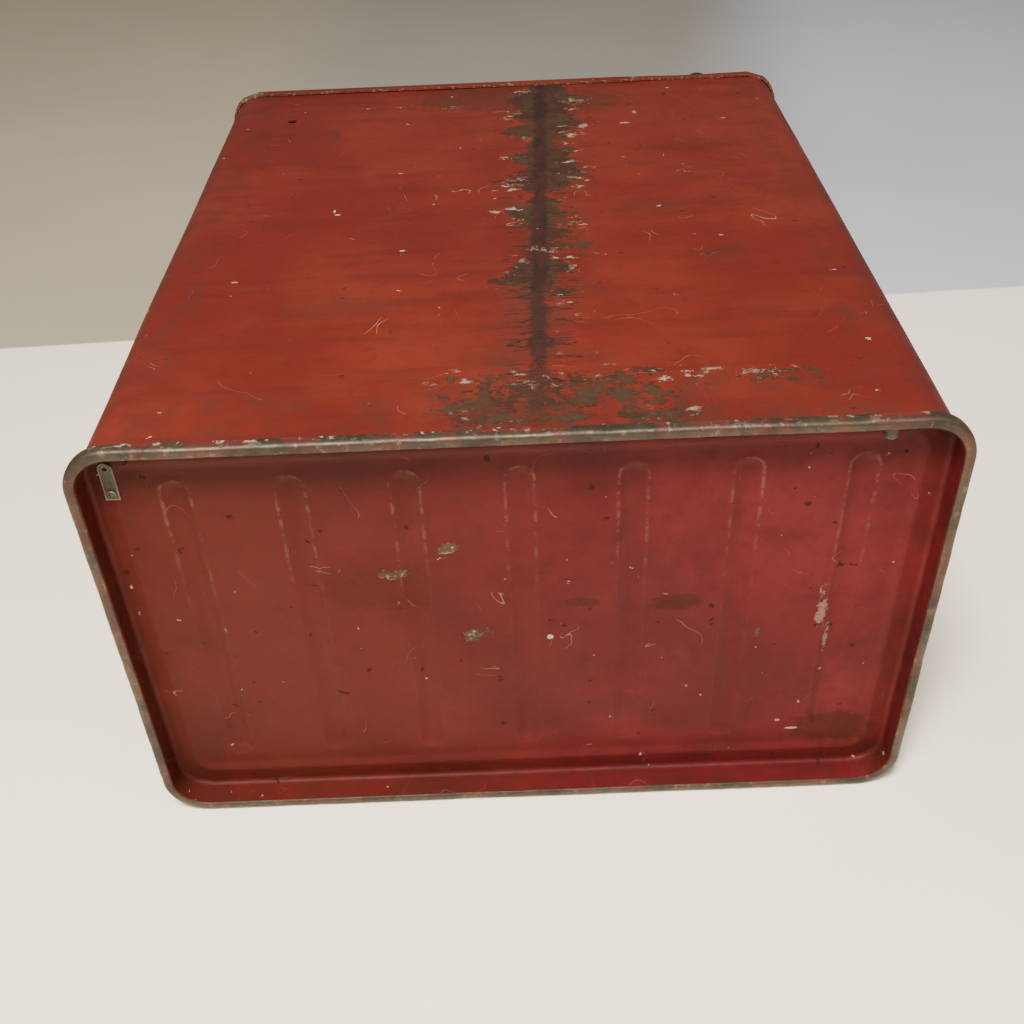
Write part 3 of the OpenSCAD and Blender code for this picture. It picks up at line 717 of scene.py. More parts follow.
@dataclass(frozen=True)
class Paint(Finish):
    """Old brushed enamel on steel: cloudy colour, grime, chips, scratches and worn edges, with painted
    glints on the bare metal.
    """

    colour: Colour = (0.083, 0.0068, 0.0030)
    faded: Colour = (0.106, 0.0120, 0.0050)
    dark: Colour = (0.038, 0.0046, 0.0026)
    grime: Colour = (0.032, 0.0085, 0.0032)
    bare: Colour = (0.085, 0.0620, 0.0360)
    rust: Colour = (0.025, 0.0052, 0.0016)
    pale: Colour = (0.34, 0.26, 0.185)
    grime_amount: float = 0.35
    chip_share: float = 0.05
    wear: float = 0.45
    edge_radius: float = 0.0015
    roughness: float = 0.50
    specular: float = 0.28
    brushed: Point = (1.0, 1.0, 1.0)
    dust_grain: Point = (1.0, 1.0, 1.0)
    hairs: float = 0.5
    pale_marks: tuple[Mark, ...] = ()
    dirty_marks: tuple[Mark, ...] = ()
    bare_marks: tuple[Mark, ...] = ()

    def wire(self, g: Graph, shader: bpy.types.Node, where: Socket) -> None:
        """Wires the enamel.

        Args:
            g: the material's graph.
            shader: its Principled shader.
            where: the place on the piece.
        """
        brush = g.noise(g.stretch(where, self.brushed), 60.0, 4.0, 0.6)
        dirt = g.use(GRIME, Vector=where, Scale=18.0, Amount=self.grime_amount).outputs[0]
        # for the base pan the stains also carry painted shade along the walls and in the corners
        dirt = g.most(g.times(dirt, 0.5), g.times(self.stains(g, where), 0.8))
        colour = g.mix(dirt, self.enamel(g, where, brush), self.grime)
        hurt = self.damage(g, where)
        metal = g.mix(g.noise(where, 330.0, 5.0, 0.7), self.bare, tuple(c * 0.4 for c in self.bare))
        colour = g.mix(hurt.bare, colour, metal)
        colour = g.mix(hurt.rust, colour, self.rust)
        colour = g.mix(hurt.dark, colour, (0.009, 0.0035, 0.0018))
        colour = g.mix(hurt.pale, colour, self.pale)
        g.feed(colour, shader.inputs["Base Color"])
        gone = g.most(hurt.bare, hurt.rust)
        sheen = g.span(g.noise(where, 40.0, 4.0, 0.6), 0.3, 0.7, self.roughness - 0.03,
                       self.roughness + 0.05)
        g.feed(g.math("ADD", sheen, g.times(g.most(gone, dirt), 0.25), clamp=True),
               shader.inputs["Roughness"])
        shader.inputs["Specular IOR Level"].default_value = self.specular
        ripples = g.bump(g.noise(where, 30.0, 3.0, 0.5), 0.0004)
        grain = g.bump(g.add(g.times(brush, 0.5), g.noise(where, 700.0, 4.0, 0.6)), 0.00010, ripples)
        g.feed(g.bump(g.math("SUBTRACT", 1.0, g.most(gone, hurt.dark)), 0.00022, grain),
               shader.inputs["Normal"])

    def enamel(self, g: Graph, where: Socket, brush: Socket) -> Socket:
        """The paint's own cloudy colour.

        Args:
            g: the material's graph.
            where: the place on the piece.
            brush: the brush marks.

        Returns:
            The colour, before dirt and damage.
        """
        clouds = g.noise(where, 14.0, 5.0, 0.55, 0.4)
        colour = g.mix(g.span(clouds, 0.35, 0.68), self.colour, self.faded)
        colour = g.mix(g.times(g.span(brush, 0.45, 0.75), 0.35), colour, self.dark)
        mottled = g.span(g.noise(where, 160.0, 4.0, 0.6), 0.52, 0.72)
        return g.mix(g.times(mottled, 0.22), colour, self.dark)

    def stains(self, g: Graph, where: Socket) -> Feed:
        """Where dirt lies thick."""
        return marks_mask(g, where, self.dirty_marks)

    def damage(self, g: Graph, where: Socket) -> Damage:
        """The chips, scratches and worn edges, with painted glints on the bare metal.

        Args:
            g: the material's graph.
            where: the place on the piece.

        Returns:
            The masks of the damage.
        """
        dots = g.use(SPECKLE, Vector=where, Scale=170.0, Share=self.chip_share, Size=0.26).outputs[0]
        blots = g.use(SPECKLE, Vector=g.stretch(where, (1.0, 1.0, 1.8)), Scale=60.0,
                      Share=self.chip_share * 0.6, Size=0.15).outputs[0]
        dust = g.use(SPECKLE, Vector=g.stretch(g.shift(where, (2.0, 1.0, 3.0)), self.dust_grain),
                     Scale=260.0,
                     Share=self.chip_share * 0.5, Size=0.22).outputs[0]
        lines = g.use(SCRATCHES, Vector=where, Scale=26.0, Width=0.0016, Amount=self.hairs).outputs[0]
        bare = marks_mask(g, where, self.bare_marks)
        if self.edge_radius:
            worn = g.use(EDGE_WEAR, Vector=where, Radius=self.edge_radius, Scale=260.0, Amount=self.wear)
            bare = g.most(worn.outputs[0], bare)
        # painted glints: pale flecks on the bare metal stand in for highlights
        glint = g.times(bare, g.span(g.noise(where, 500.0, 3.0, 0.5), 0.56, 0.62))
        pale = g.most(g.times(dust, 0.75), g.times(lines, 0.4), g.times(glint, 0.6),
                      marks_mask(g, where, self.pale_marks))
        return Damage(bare, g.times(g.most(dots, blots), 0.85), pale, 0.0)


@dataclass(frozen=True)
class SeamPaint(Paint):
    """The body's enamel, peeled away along the back seam and spotted along the base."""

    seam_x: float = -0.0085
    seam_lean: float = 0.0405
    seam_half: float = 0.0041
    seam_foot: float = 0.018
    peel_reach: float = 0.043

    def damage(self, g: Graph, where: Socket) -> Damage:
        """Adds the seam's rust, the peeling round it and the spots along the base.

        Args:
            g: the material's graph.
            where: the place on the piece.

        Returns:
            The masks of the damage.
        """
        plain = super().damage(g, where)
        x, y, z = g.axes(where)
        back = g.span(y, 0.098, 0.1020)
        across = self.across(g, where)
        rough = g.math("SUBTRACT", g.noise(g.stretch(where, (0.8, 1.0, 1.2)), 130.0, 6.0, 0.75), 0.5)
        foot = g.span(z, self.seam_foot, self.seam_foot + 0.06, 0.30, 1.0)
        width = g.span(g.noise(g.stretch(where, (0.0, 0.0, 1.0)), 24.0, 3.0, 0.6), 0.35, 0.65,
                       self.seam_half * 0.62, self.seam_half * 1.10)
        band = g.times(g.span(g.math("SUBTRACT", g.add(across, g.times(rough, 0.0110)), width),
                              -0.0016, 0.0022, 1.0, 0.0), back, foot)
        # the peeling is widest at mid height and dies out towards both ends
        middle = g.times(g.span(z, 0.080, 0.150), g.span(z, 0.290, 0.340, 1.0, 0.75))
        drift = g.times(g.math("SUBTRACT", g.noise(g.stretch(where, (0.7, 1.0, 1.1)), 34.0, 3.0, 0.55),
                               0.5), 0.075)
        reach = g.times(g.span(g.add(across, drift), 0.001, self.peel_reach, 1.0, 0.0),
                        g.span(middle, 0.0, 1.0, 0.42, 1.0), g.span(across, 0.030, 0.042, 1.0, 0.0))
        low = g.times(g.span(z, 0.004, 0.016), g.span(z, 0.044, 0.062, 1.0, 0.0),
                      g.span(g.math("ABSOLUTE", g.add(x, 0.017)), 0.040, 0.066, 1.0, 0.0))
        row = g.times(g.span(g.math("ABSOLUTE", g.add(z, -0.040)), 0.003, 0.012, 1.0, 0.0),
                      g.span(x, -0.140, -0.120), g.span(x, -0.068, -0.052, 1.0, 0.0))
        likely = g.times(g.most(reach, g.times(low, 0.76), g.times(row, 0.70)), back)
        # flakes stretch across the seam, as the brush marks do
        grain = g.stretch(where, (0.75, 1.0, 1.15))
        clumps = g.span(g.noise(g.shift(where, (3.0, 0.0, 7.0)), 42.0, 3.0, 0.6), 0.50, 0.60)
        flakes = g.use(FLAKES, Vector=grain, Scale=96.0, Likely=g.times(likely, 0.98))
        seen = g.span(likely, 0.04, 0.16)
        peeled = g.times(flakes.outputs["Bare"], seen)
        edge_here = g.span(g.noise(g.shift(grain, (5.0, 0.0, 1.0)), 90.0, 3.0, 0.6), 0.54, 0.60)
        edges = g.times(flakes.outputs["Edge"], seen, edge_here, clumps)
        chalk = g.times(seen, clumps,
                        g.span(g.noise(g.stretch(where, (0.75, 1.0, 1.5)), 150.0, 5.0, 0.7), 0.58, 0.62),
                        g.span(across, 0.004, 0.008), g.span(likely, 0.25, 0.55))
        near = g.times(g.span(across, 0.002, 0.034, 1.0, 0.0), back,
                       g.span(z, 0.02, 0.05), g.span(z, 0.13, 0.34, 1.0, 0.5))
        wave = g.noise(g.stretch(where, (0.30, 1.0, 2.6)), 75.0, 3.0, 0.55, 0.3)
        cracks = g.times(g.span(g.math("ABSOLUTE", g.math("SUBTRACT", wave, 0.5)), 0.006, 0.014, 1.0, 0.0),
                         g.span(g.add(near, g.noise(where, 70.0, 3.0, 0.6)), 1.00, 1.12))
        rusty = g.times(peeled,
                        g.span(g.noise(g.shift(where, (1.0, 6.0, 2.0)), 48.0, 5.0, 0.68), 0.45, 0.56))
        return Damage(g.most(plain.bare, g.times(peeled, 0.9)),
                      g.most(plain.rust, band, g.times(rusty, 0.75)),
                      g.most(plain.pale, g.times(edges, 0.5), g.times(chalk, 0.7)),
                      g.most(g.times(cracks, 0.9), g.times(self.soot(g, where, band), 0.72)))

    def across(self, g: Graph, where: Socket) -> Socket:
        """How far a place lies from the seam, measured across it, in metres."""
        x, _, z = g.axes(where)
        wander = g.math("SUBTRACT", g.noise(g.stretch(where, (0.0, 0.0, 1.0)), 60.0, 4.0, 0.6), 0.5)
        line = g.add(g.add(x, -self.seam_x), g.times(g.add(z, -0.020), self.seam_lean))
        return g.math("ABSOLUTE", g.add(line, g.times(wander, 0.003)))

    def soot(self, g: Graph, where: Socket, band: Feed) -> Feed:
        """Darker blotches inside the seam's rust."""
        return g.times(band,
                       g.span(g.noise(g.stretch(where, (1.6, 1.0, 0.6)), 90.0, 4.0, 0.65), 0.47, 0.62))

    def stains(self, g: Graph, where: Socket) -> Feed:
        """Faint dirt in bands beside the corners and along the base, and thick dirt in its own marks."""
        x, y, z = g.axes(where)
        side = g.math("ABSOLUTE", g.add(g.math("ABSOLUTE", x), -0.148))
        bands = g.times(g.span(side, 0.003, 0.014, 1.0, 0.0), 0.45)
        base = g.times(g.span(z, 0.006, 0.034, 1.0, 0.0), 0.62)
        apron = g.times(g.span(z, 0.010, 0.062, 1.0, 0.0), g.span(g.math("ABSOLUTE", g.add(x, 0.017)),
                                                                  0.040, 0.100, 1.0, 0.0), 1.25)
        ledge = g.times(g.span(g.math("ABSOLUTE", g.add(z, -0.034)), 0.002, 0.012, 1.0, 0.0), 0.50)
        broken = g.span(g.noise(g.stretch(where, (1.0, 1.0, 0.7)), 85.0, 5.0, 0.70), 0.40, 0.62)
        soft = g.times(g.span(self.across(g, where), 0.002, 0.040, 1.0, 0.0), g.span(y, 0.098, 0.102),
                       g.span(z, 0.0, 0.06, 0.75, 0.55))
        rim_side = g.times(g.span(g.math("ABSOLUTE", x), 0.152, 0.170), 0.55)
        smoke = g.span(g.noise(where, 42.0, 6.0, 0.72, 0.6), 0.40, 0.64)
        return g.most(g.times(g.most(bands, base, ledge, rim_side, apron), broken),
                      g.times(soft, smoke, 1.5),
                      marks_mask(g, where, self.dirty_marks))


@dataclass(frozen=True)
class PanPaint(Paint):
    """The base pan's crimson, browner to one side, with painted shade along the foot of its walls and in
    its corners.
    """

    brown: Colour = (0.066, 0.0085, 0.0045)
    pitch: float = 0.0458
    groove_end: float = 0.0762
    groove_r: float = 0.0064

    def enamel(self, g: Graph, where: Socket, brush: Socket) -> Socket:
        """Crimson that turns to brown towards the box's own right side.

        Args:
            g: the material's graph.
            where: the place on the piece.
            brush: the brush marks.

        Returns:
            The colour, before dirt and damage.
        """
        plain = super().enamel(g, where, brush)
        x, _, _ = g.axes(where)
        uneven = g.add(x, g.times(g.math("SUBTRACT", g.noise(where, 11.0, 4.0, 0.6), 0.5), 0.24))
        mixed = g.mix(g.times(g.span(uneven, -0.10, 0.15), 0.85), plain, self.brown)
        rubbed = g.span(g.noise(g.shift(where, (0.5, 2.5, 0.0)), 9.0, 5.0, 0.62, 0.5), 0.44, 0.66)
        return g.mix(g.times(rubbed, 0.45), mixed, self.dark)

    def damage(self, g: Graph, where: Socket) -> Damage:
        """Adds a painted highlight: a pale line along the lip of each pressed groove, strongest towards the
        far rounded ends.
        """
        plain = super().damage(g, where)
        x, y, _ = g.axes(where)
        turn = g.math("SUBTRACT", g.math("FRACT", g.math("ADD", g.math("DIVIDE", x, self.pitch), 10.5)),
                      0.5)
        side = g.times(turn, self.pitch)
        beyond = g.math("MAXIMUM", g.add(g.math("ABSOLUTE", y), -self.groove_end), 0.0)
        away = g.math("SQRT", g.add(g.times(side, side), g.times(beyond, beyond)))
        wander = g.times(g.noise(where, 90.0, 3.0, 0.6), 0.001)
        off = g.math("ABSOLUTE", g.add(g.add(away, -self.groove_r), wander))
        # painted highlight along each groove's lip, stronger towards +Y and broken up by noise
        line = g.times(g.span(off, 0.0002, 0.0011, 1.0, 0.0), g.span(y, 0.0, 0.075, 0.10, 1.0))
        rubbed = g.times(line, g.span(g.noise(where, 150.0, 4.0, 0.7), 0.44, 0.62))
        return Damage(plain.bare, plain.rust, g.most(plain.pale, g.times(rubbed, 0.12)), plain.dark)

    def stains(self, g: Graph, where: Socket) -> Feed:
        """Painted shade along the foot of the walls and in the corners, broken up by noise, and thick dirt
        in its own marks.
        """
        x, y, _ = g.axes(where)
        # painted shade: darker towards the walls and into the corners of the recess
        shade_near_side = g.span(g.math("ABSOLUTE", x), 0.150, 0.170)
        shade_near_end = g.span(g.math("ABSOLUTE", y), 0.086, 0.102)
        corner = g.times(g.span(g.math("ABSOLUTE", x), 0.135, 0.168),
                         g.span(g.math("ABSOLUTE", y), 0.070, 0.100))
        broken = g.span(g.noise(where, 60.0, 6.0, 0.68), 0.36, 0.62)
        return g.most(g.times(g.most(g.times(shade_near_side, 0.45), g.times(shade_near_end, 0.45), corner), broken),
                      marks_mask(g, where, self.dirty_marks))


@dataclass(frozen=True)
class Metal(Finish):
    """Bare or plated metal with tarnish, rust, grime and bright rubbed edges."""

    colour: Colour = (0.11, 0.090, 0.060)
    tarnish: Colour = (0.050, 0.039, 0.024)
    rust: Colour = (0.046, 0.019, 0.008)
    bright: Colour = (0.34, 0.28, 0.22)
    metallic: float = 0.55
    roughness: float = 0.48
    rust_amount: float = 0.35
    shine: float = 0.35
    edge_radius: float = 0.0010
    grain: Point = (1.0, 1.0, 1.0)

    def wire(self, g: Graph, shader: bpy.types.Node, where: Socket) -> None:
        """Wires the metal.

        Args:
            g: the material's graph.
            shader: its Principled shader.
            where: the place on the piece.
        """
        clouds = g.noise(where, 55.0, 6.0, 0.65, 0.5)
        colour = g.mix(g.span(clouds, 0.38, 0.62), self.colour, self.tarnish)
        fine = g.noise(g.stretch(where, self.grain), 420.0, 5.0, 0.65)
        colour = g.mix(g.times(g.span(fine, 0.40, 0.70), 0.5), colour, tuple(c * 0.45 for c in self.colour))
        rust = g.use(GRIME, Vector=where, Scale=70.0, Amount=self.rust_amount).outputs[0]
        pits = g.use(SPECKLE, Vector=where, Scale=380.0, Share=0.12, Size=0.32).outputs[0]
        worn = 0.0
        if self.edge_radius:
            worn = g.use(EDGE_WEAR, Vector=where, Radius=self.edge_radius, Scale=300.0,
                         Amount=self.shine).outputs[0]
        # for the rim, touch adds pale chips and a painted highlight to the worn mask
        worn, rust, colour = self.touch(g, where, worn, rust, colour)
        colour = g.mix(g.most(rust, pits), colour, self.rust)
        colour = g.mix(worn, colour, self.bright)
        g.feed(colour, shader.inputs["Base Color"])
        dull = g.most(rust, pits)
        g.feed(g.times(g.math("SUBTRACT", 1.0, dull, clamp=True), self.metallic), shader.inputs["Metallic"])
        base = g.span(clouds, 0.3, 0.7, self.roughness - 0.08, self.roughness + 0.10)
        g.feed(g.math("ADD", base, g.times(dull, 0.25), clamp=True), shader.inputs["Roughness"])
        waves = g.bump(g.noise(where, 120.0, 4.0, 0.6), 0.00045)
        g.feed(g.bump(g.add(g.times(fine, 0.6), g.times(g.math("SUBTRACT", 1.0, dull), 0.4)), 0.00016,
                      waves),
               shader.inputs["Normal"])

    def touch(self, g: Graph, where: Socket, worn: Feed, rust: Feed,
              colour: Feed) -> tuple[Feed, Feed, Feed]:
        """A place for a finish to add its own wear, rust or colour."""
        return worn, rust, colour


@dataclass(frozen=True)
class RimMetal(Metal):
    """The rolled rim's olive steel, with pink-white chips and a painted highlight along its back edge and
    some red left on it.
    """

    red: Colour = (0.130, 0.014, 0.010)

    def touch(self, g: Graph, where: Socket, worn: Feed, rust: Feed,
              colour: Feed) -> tuple[Feed, Feed, Feed]:
        """Adds the red left on the rim, and the pale chips with a painted highlight along its upper back
        edge.

        Args:
            g: the material's graph.
            where: the place on the rim.
            worn: the rubbed mask so far.
            rust: the rust mask so far.
            colour: the colour so far.

        Returns:
            The rubbed mask with the chips and painted highlight added, the rust mask and the colour.
        """
        x, y, z = g.axes(where)
        # painted highlight: pale chips gather in a band along the rim's upper back edge, stronger towards
        # +X
        outer = g.times(g.span(z, 0.0022, 0.0050), g.span(y, 0.095, 0.104),
                        g.span(x, -0.10, 0.02, 0.45, 1.0))
        left = g.times(g.span(g.noise(where, 48.0, 5.0, 0.62), 0.47, 0.56),
                       g.span(z, 0.0020, 0.0055, 0.25, 0.95))
        colour = g.mix(left, colour, self.red)
        chips = g.times(g.span(g.noise(g.shift(where, (4.0, 1.0, 2.0)), 210.0, 5.0, 0.72), 0.56, 0.62),
                        g.most(outer, 0.14))
        return g.most(worn, chips), rust, colour


@dataclass(frozen=True)
class Pane(Finish):
    """Clear plastic, yellowed, rubbed and dusty."""

    tint: Colour = (0.86, 0.87, 0.80)

    def wire(self, g: Graph, shader: bpy.types.Node, where: Socket) -> None:
        """Wires the pane.

        Args:
            g: the material's graph.
            shader: its Principled shader.
            where: the place on the pane.
        """
        haze = g.use(GRIME, Vector=where, Scale=16.0, Amount=0.45).outputs[0]
        lines = g.use(SCRATCHES, Vector=where, Scale=45.0, Width=0.004, Amount=0.6).outputs[0]
        specks = g.use(SPECKLE, Vector=where, Scale=220.0, Share=0.10, Size=0.22).outputs[0]
        dirty = g.most(g.times(haze, 0.30), g.times(lines, 0.4), g.times(specks, 0.7))
        g.feed(g.mix(dirty, self.tint, (0.42, 0.38, 0.30)), shader.inputs["Base Color"])
        g.feed(g.span(dirty, 0.0, 1.0, 0.10, 0.65), shader.inputs["Roughness"])
        g.feed(g.span(dirty, 0.0, 1.0, 0.26, 0.85), shader.inputs["Alpha"])
        shader.inputs["IOR"].default_value = 1.49
        g.feed(g.bump(g.add(g.noise(where, 25.0, 3.0, 0.5), g.times(lines, -0.1)), 0.0004),
               shader.inputs["Normal"])


@dataclass(frozen=True)
class Card(Finish):
    """A blank card, yellowed and foxed."""

    colour: Colour = (0.62, 0.54, 0.38)

    def wire(self, g: Graph, shader: bpy.types.Node, where: Socket) -> None:
        """Wires the card.

        Args:
            g: the material's graph.
            shader: its Principled shader.
            where: the place on the card.
        """
        fibres = g.noise(g.stretch(where, (1.0, 1.0, 0.4)), 900.0, 4.0, 0.7)
        colour = g.mix(g.span(g.noise(where, 25.0, 5.0, 0.6), 0.4, 0.7), self.colour, (0.44, 0.33, 0.19))
        colour = g.mix(g.times(g.span(fibres, 0.5, 0.7), 0.3), colour, (0.33, 0.26, 0.16))
        spots = g.use(SPECKLE, Vector=where, Scale=140.0, Share=0.10, Size=0.25).outputs[0]
        g.feed(g.mix(g.times(spots, 0.6), colour, (0.22, 0.12, 0.05)), shader.inputs["Base Color"])
        g.feed(g.span(fibres, 0.3, 0.7, 0.78, 0.92), shader.inputs["Roughness"])
        g.feed(g.bump(fibres, 0.00012), shader.inputs["Normal"])


# ---------------------------------------------------------------- sub-assemblies


def size_of(node: str) -> tuple[Vector, Vector]:
    """The lowest and highest corners of one plain solid."""
    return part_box(node)


def bore(name: str, at: Point, axis: str, radius: float, length: float) -> Sheet:
    """A round cutter along an axis, centred on a point."""
    cutter = Sheet(name)
    half = length / 2
    cutter.turned(at, axis, [(radius, -half), (radius, half)], 32)
    return cutter


def block_cut(name: str, low: Sequence[float], high: Sequence[float], radius: float) -> Sheet:
    """A cutter through the front in Y, with round corners seen from the front.

    Args:
        name: the cutter's name.
        low: its lowest corner.
        high: its highest corner.
        radius: the radius of its corners.

    Returns:
        The closed cutter.
    """
    cutter = Sheet(name)
    cx, cz = (low[0] + high[0]) / 2, (low[2] + high[2]) / 2
    outline = Outline((high[0] - low[0]) / 2, (high[2] - low[2]) / 2, radius).stations(0.02)
    rings = [[(cx + s.x, y, cz + s.y) for s in outline] for y in (high[1], low[1])]
    numbers = cutter.band(rings)
    cutter.faces.append(tuple(reversed(numbers[0])))
    cutter.faces.append(tuple(numbers[1]))
    return cutter


def pushed(p: Point, half_w: float, half_d: float, radius: float, out: float, z: float) -> Point:
    """A point of a plate's edge, pushed outwards and set to a height."""
    nx = p[0] - math.copysign(min(abs(p[0]), half_w - radius), p[0])
    ny = p[1] - math.copysign(min(abs(p[1]), half_d - radius), p[1])
    length = math.hypot(nx, ny) or 1.0
    return p[0] + out * nx / length, p[1] + out * ny / length, z


def pushed_in(x: float) -> float:
    """How far the top back edge has been knocked in at a place across, most of all by the lock."""
    return 0.15 * MM + 0.65 * MM * math.exp(-((x + 116 * MM) / (25 * MM)) ** 2)


@dataclass
class BodyShell:
    """The folded body sheet: dented walls, the lock seam down the back and its openings."""

    sheet: float = 1.0 * MM
    step: float = 4.0 * MM
    corner_r: float = 17.0 * MM
    opening_low: tuple[float, float] = (-84 * MM, 62 * MM)
    opening_high: tuple[float, float] = (140 * MM, 342 * MM)
    slot_low: tuple[float, float] = (-132 * MM, 310.5 * MM)
    slot_high: tuple[float, float] = (-124 * MM, 349.5 * MM)
    hinge_half: float = 61.0 * MM
    back_hole: tuple[float, float] = (44 * MM, 50 * MM)
    back_hole_r: float = 2.75 * MM
    pinhole: tuple[float, float] = (28.5 * MM, 33 * MM)
    pinhole_r: float = 1.0 * MM
    seam: tuple[float, float] = (-8.5 * MM, 0.0405)
    finish: Paint = field(default_factory=lambda: SeamPaint(
        "shell_enamel", bare=(0.038, 0.0215, 0.0075), brushed=(0.25, 0.6, 1.6), dust_grain=(0.6, 1.0, 1.2),
        edge_radius=0.0,
        pale_marks=(Mark((0.0895, 0.1035, 0.213), (0.0008, 0.004, 0.0024), 0.5),
                    Mark((0.0875, 0.1035, 0.209), (0.0020, 0.004, 0.0009), 0.6),
                    Mark((0.052, 0.1035, 0.165), (0.0022, 0.004, 0.0010), 0.6),
                    Mark((-0.0715, 0.1035, 0.321), (0.0044, 0.004, 0.0013), 1.4, 0.1, 0.5),
                    Mark((-0.0775, 0.1035, 0.338), (0.0016, 0.004, 0.0034), 1.4, 0.1, 0.4),
                    Mark((-0.0460, 0.1035, 0.318), (0.0036, 0.004, 0.0046), 1.8, 0.1, 0.4)),
        dirty_marks=(Mark((0.016, 0.1035, 0.372), (0.044, 0.006, 0.020), 1.1, 0.5, 0.75),
                     Mark((-0.044, 0.1035, 0.362), (0.036, 0.006, 0.022), 1.1, 0.5, 0.70),
                     Mark((0.100, 0.1035, 0.318), (0.006, 0.006, 0.012), 1.1, 0.3, 0.5),
                     Mark((-0.070, 0.1035, 0.205), (0.022, 0.006, 0.008), 1.2, 0.4, 0.45),
                     Mark((-0.100, 0.1035, 0.150), (0.012, 0.006, 0.010), 1.2, 0.4, 0.45),
                     Mark((0.075, 0.1035, 0.110), (0.030, 0.006, 0.010), 1.2, 0.5, 0.35)),
        bare_marks=(Mark((0.030, 0.1035, 0.358), (0.007, 0.004, 0.005), 1.8, 0.2, 0.45),
                    Mark((-0.046, 0.1035, 0.360), (0.012, 0.004, 0.007), 1.8, 0.3, 0.40))))

    def dent(self, s: Station, z: float) -> float:
        """How far in the wall lies at a station and height."""
        wavy = 0.32 * MM * (1 + ripple(s.x, s.y, z, 11.0, 3.0)) + 0.10 * MM * (1 + ripple(s.x, s.y, z,
                                                                                          38.0, 7.0))
        if s.ny > 0.5:
            across = abs(s.x - self.seam[0] + self.seam[1] * (z - 0.020))
            fold = smooth_step(across, 4.0 * MM, 5.4 * MM)
            wavy = wavy * fold + 0.05 * MM * (1 - fold)
        if s.ny < -0.5:
            wavy *= 0.15
        return wavy

    def build(self) -> None:
        """Builds and dresses the body sheet."""
        low, high = size_of("body_shell")
        outline = Outline(high.x, high.y, self.corner_r)
        stations = outline.stations(self.step, (self.opening_low[0], self.opening_high[0],
                                                self.slot_low[0], self.slot_high[0]))
        heights = spread(low.z, high.z, self.step, (self.opening_low[1], self.opening_high[1],
                                                    self.slot_low[1], self.slot_high[1]))
        rows = [[(s.x - s.nx * self.dent(s, z), s.y - s.ny * self.dent(s, z), z) for s in stations]
                for z in heights]

        def keep(i: int, j: int) -> bool:
            """Whether a cell is sheet and not opening."""
            a, b = stations[j], stations[(j + 1) % len(stations)]
            if a.ny > -0.5 or b.ny > -0.5:
                return True
            x, z = (a.x + b.x) / 2, (heights[i] + heights[i + 1]) / 2
            return not any(lo[0] < x < hi[0] and lo[1] < z < hi[1] for lo, hi in
                           ((self.opening_low, self.opening_high), (self.slot_low, self.slot_high)))

        sheet = Sheet("body_sheet")
        sheet.band(rows, keep=keep)
        notch = Sheet("hinge_notch")
        _, hinge_high = size_of("lid_fixed_leaf")
        notch.box((high.x - 5 * MM, -self.hinge_half, hinge_high.z - 4.3 * MM),
                  (high.x + 5 * MM, self.hinge_half, high.z + 1 * MM))
        hole_in, hole_down = self.back_hole
        pin_in, pin_down = self.pinhole
        cuts = [bore("hole", (high.x - hole_in, high.y, high.z - hole_down), "y", self.back_hole_r,
                     12 * MM),
                bore("pinhole", (low.x + pin_in, high.y, high.z - pin_down), "y", self.pinhole_r, 12 * MM),
                notch]
        obj = sheet.build(thickness=self.sheet, cuts=cuts)
        place(obj, Body.CABINET, "shell_paint", self.finish, "body_shell")


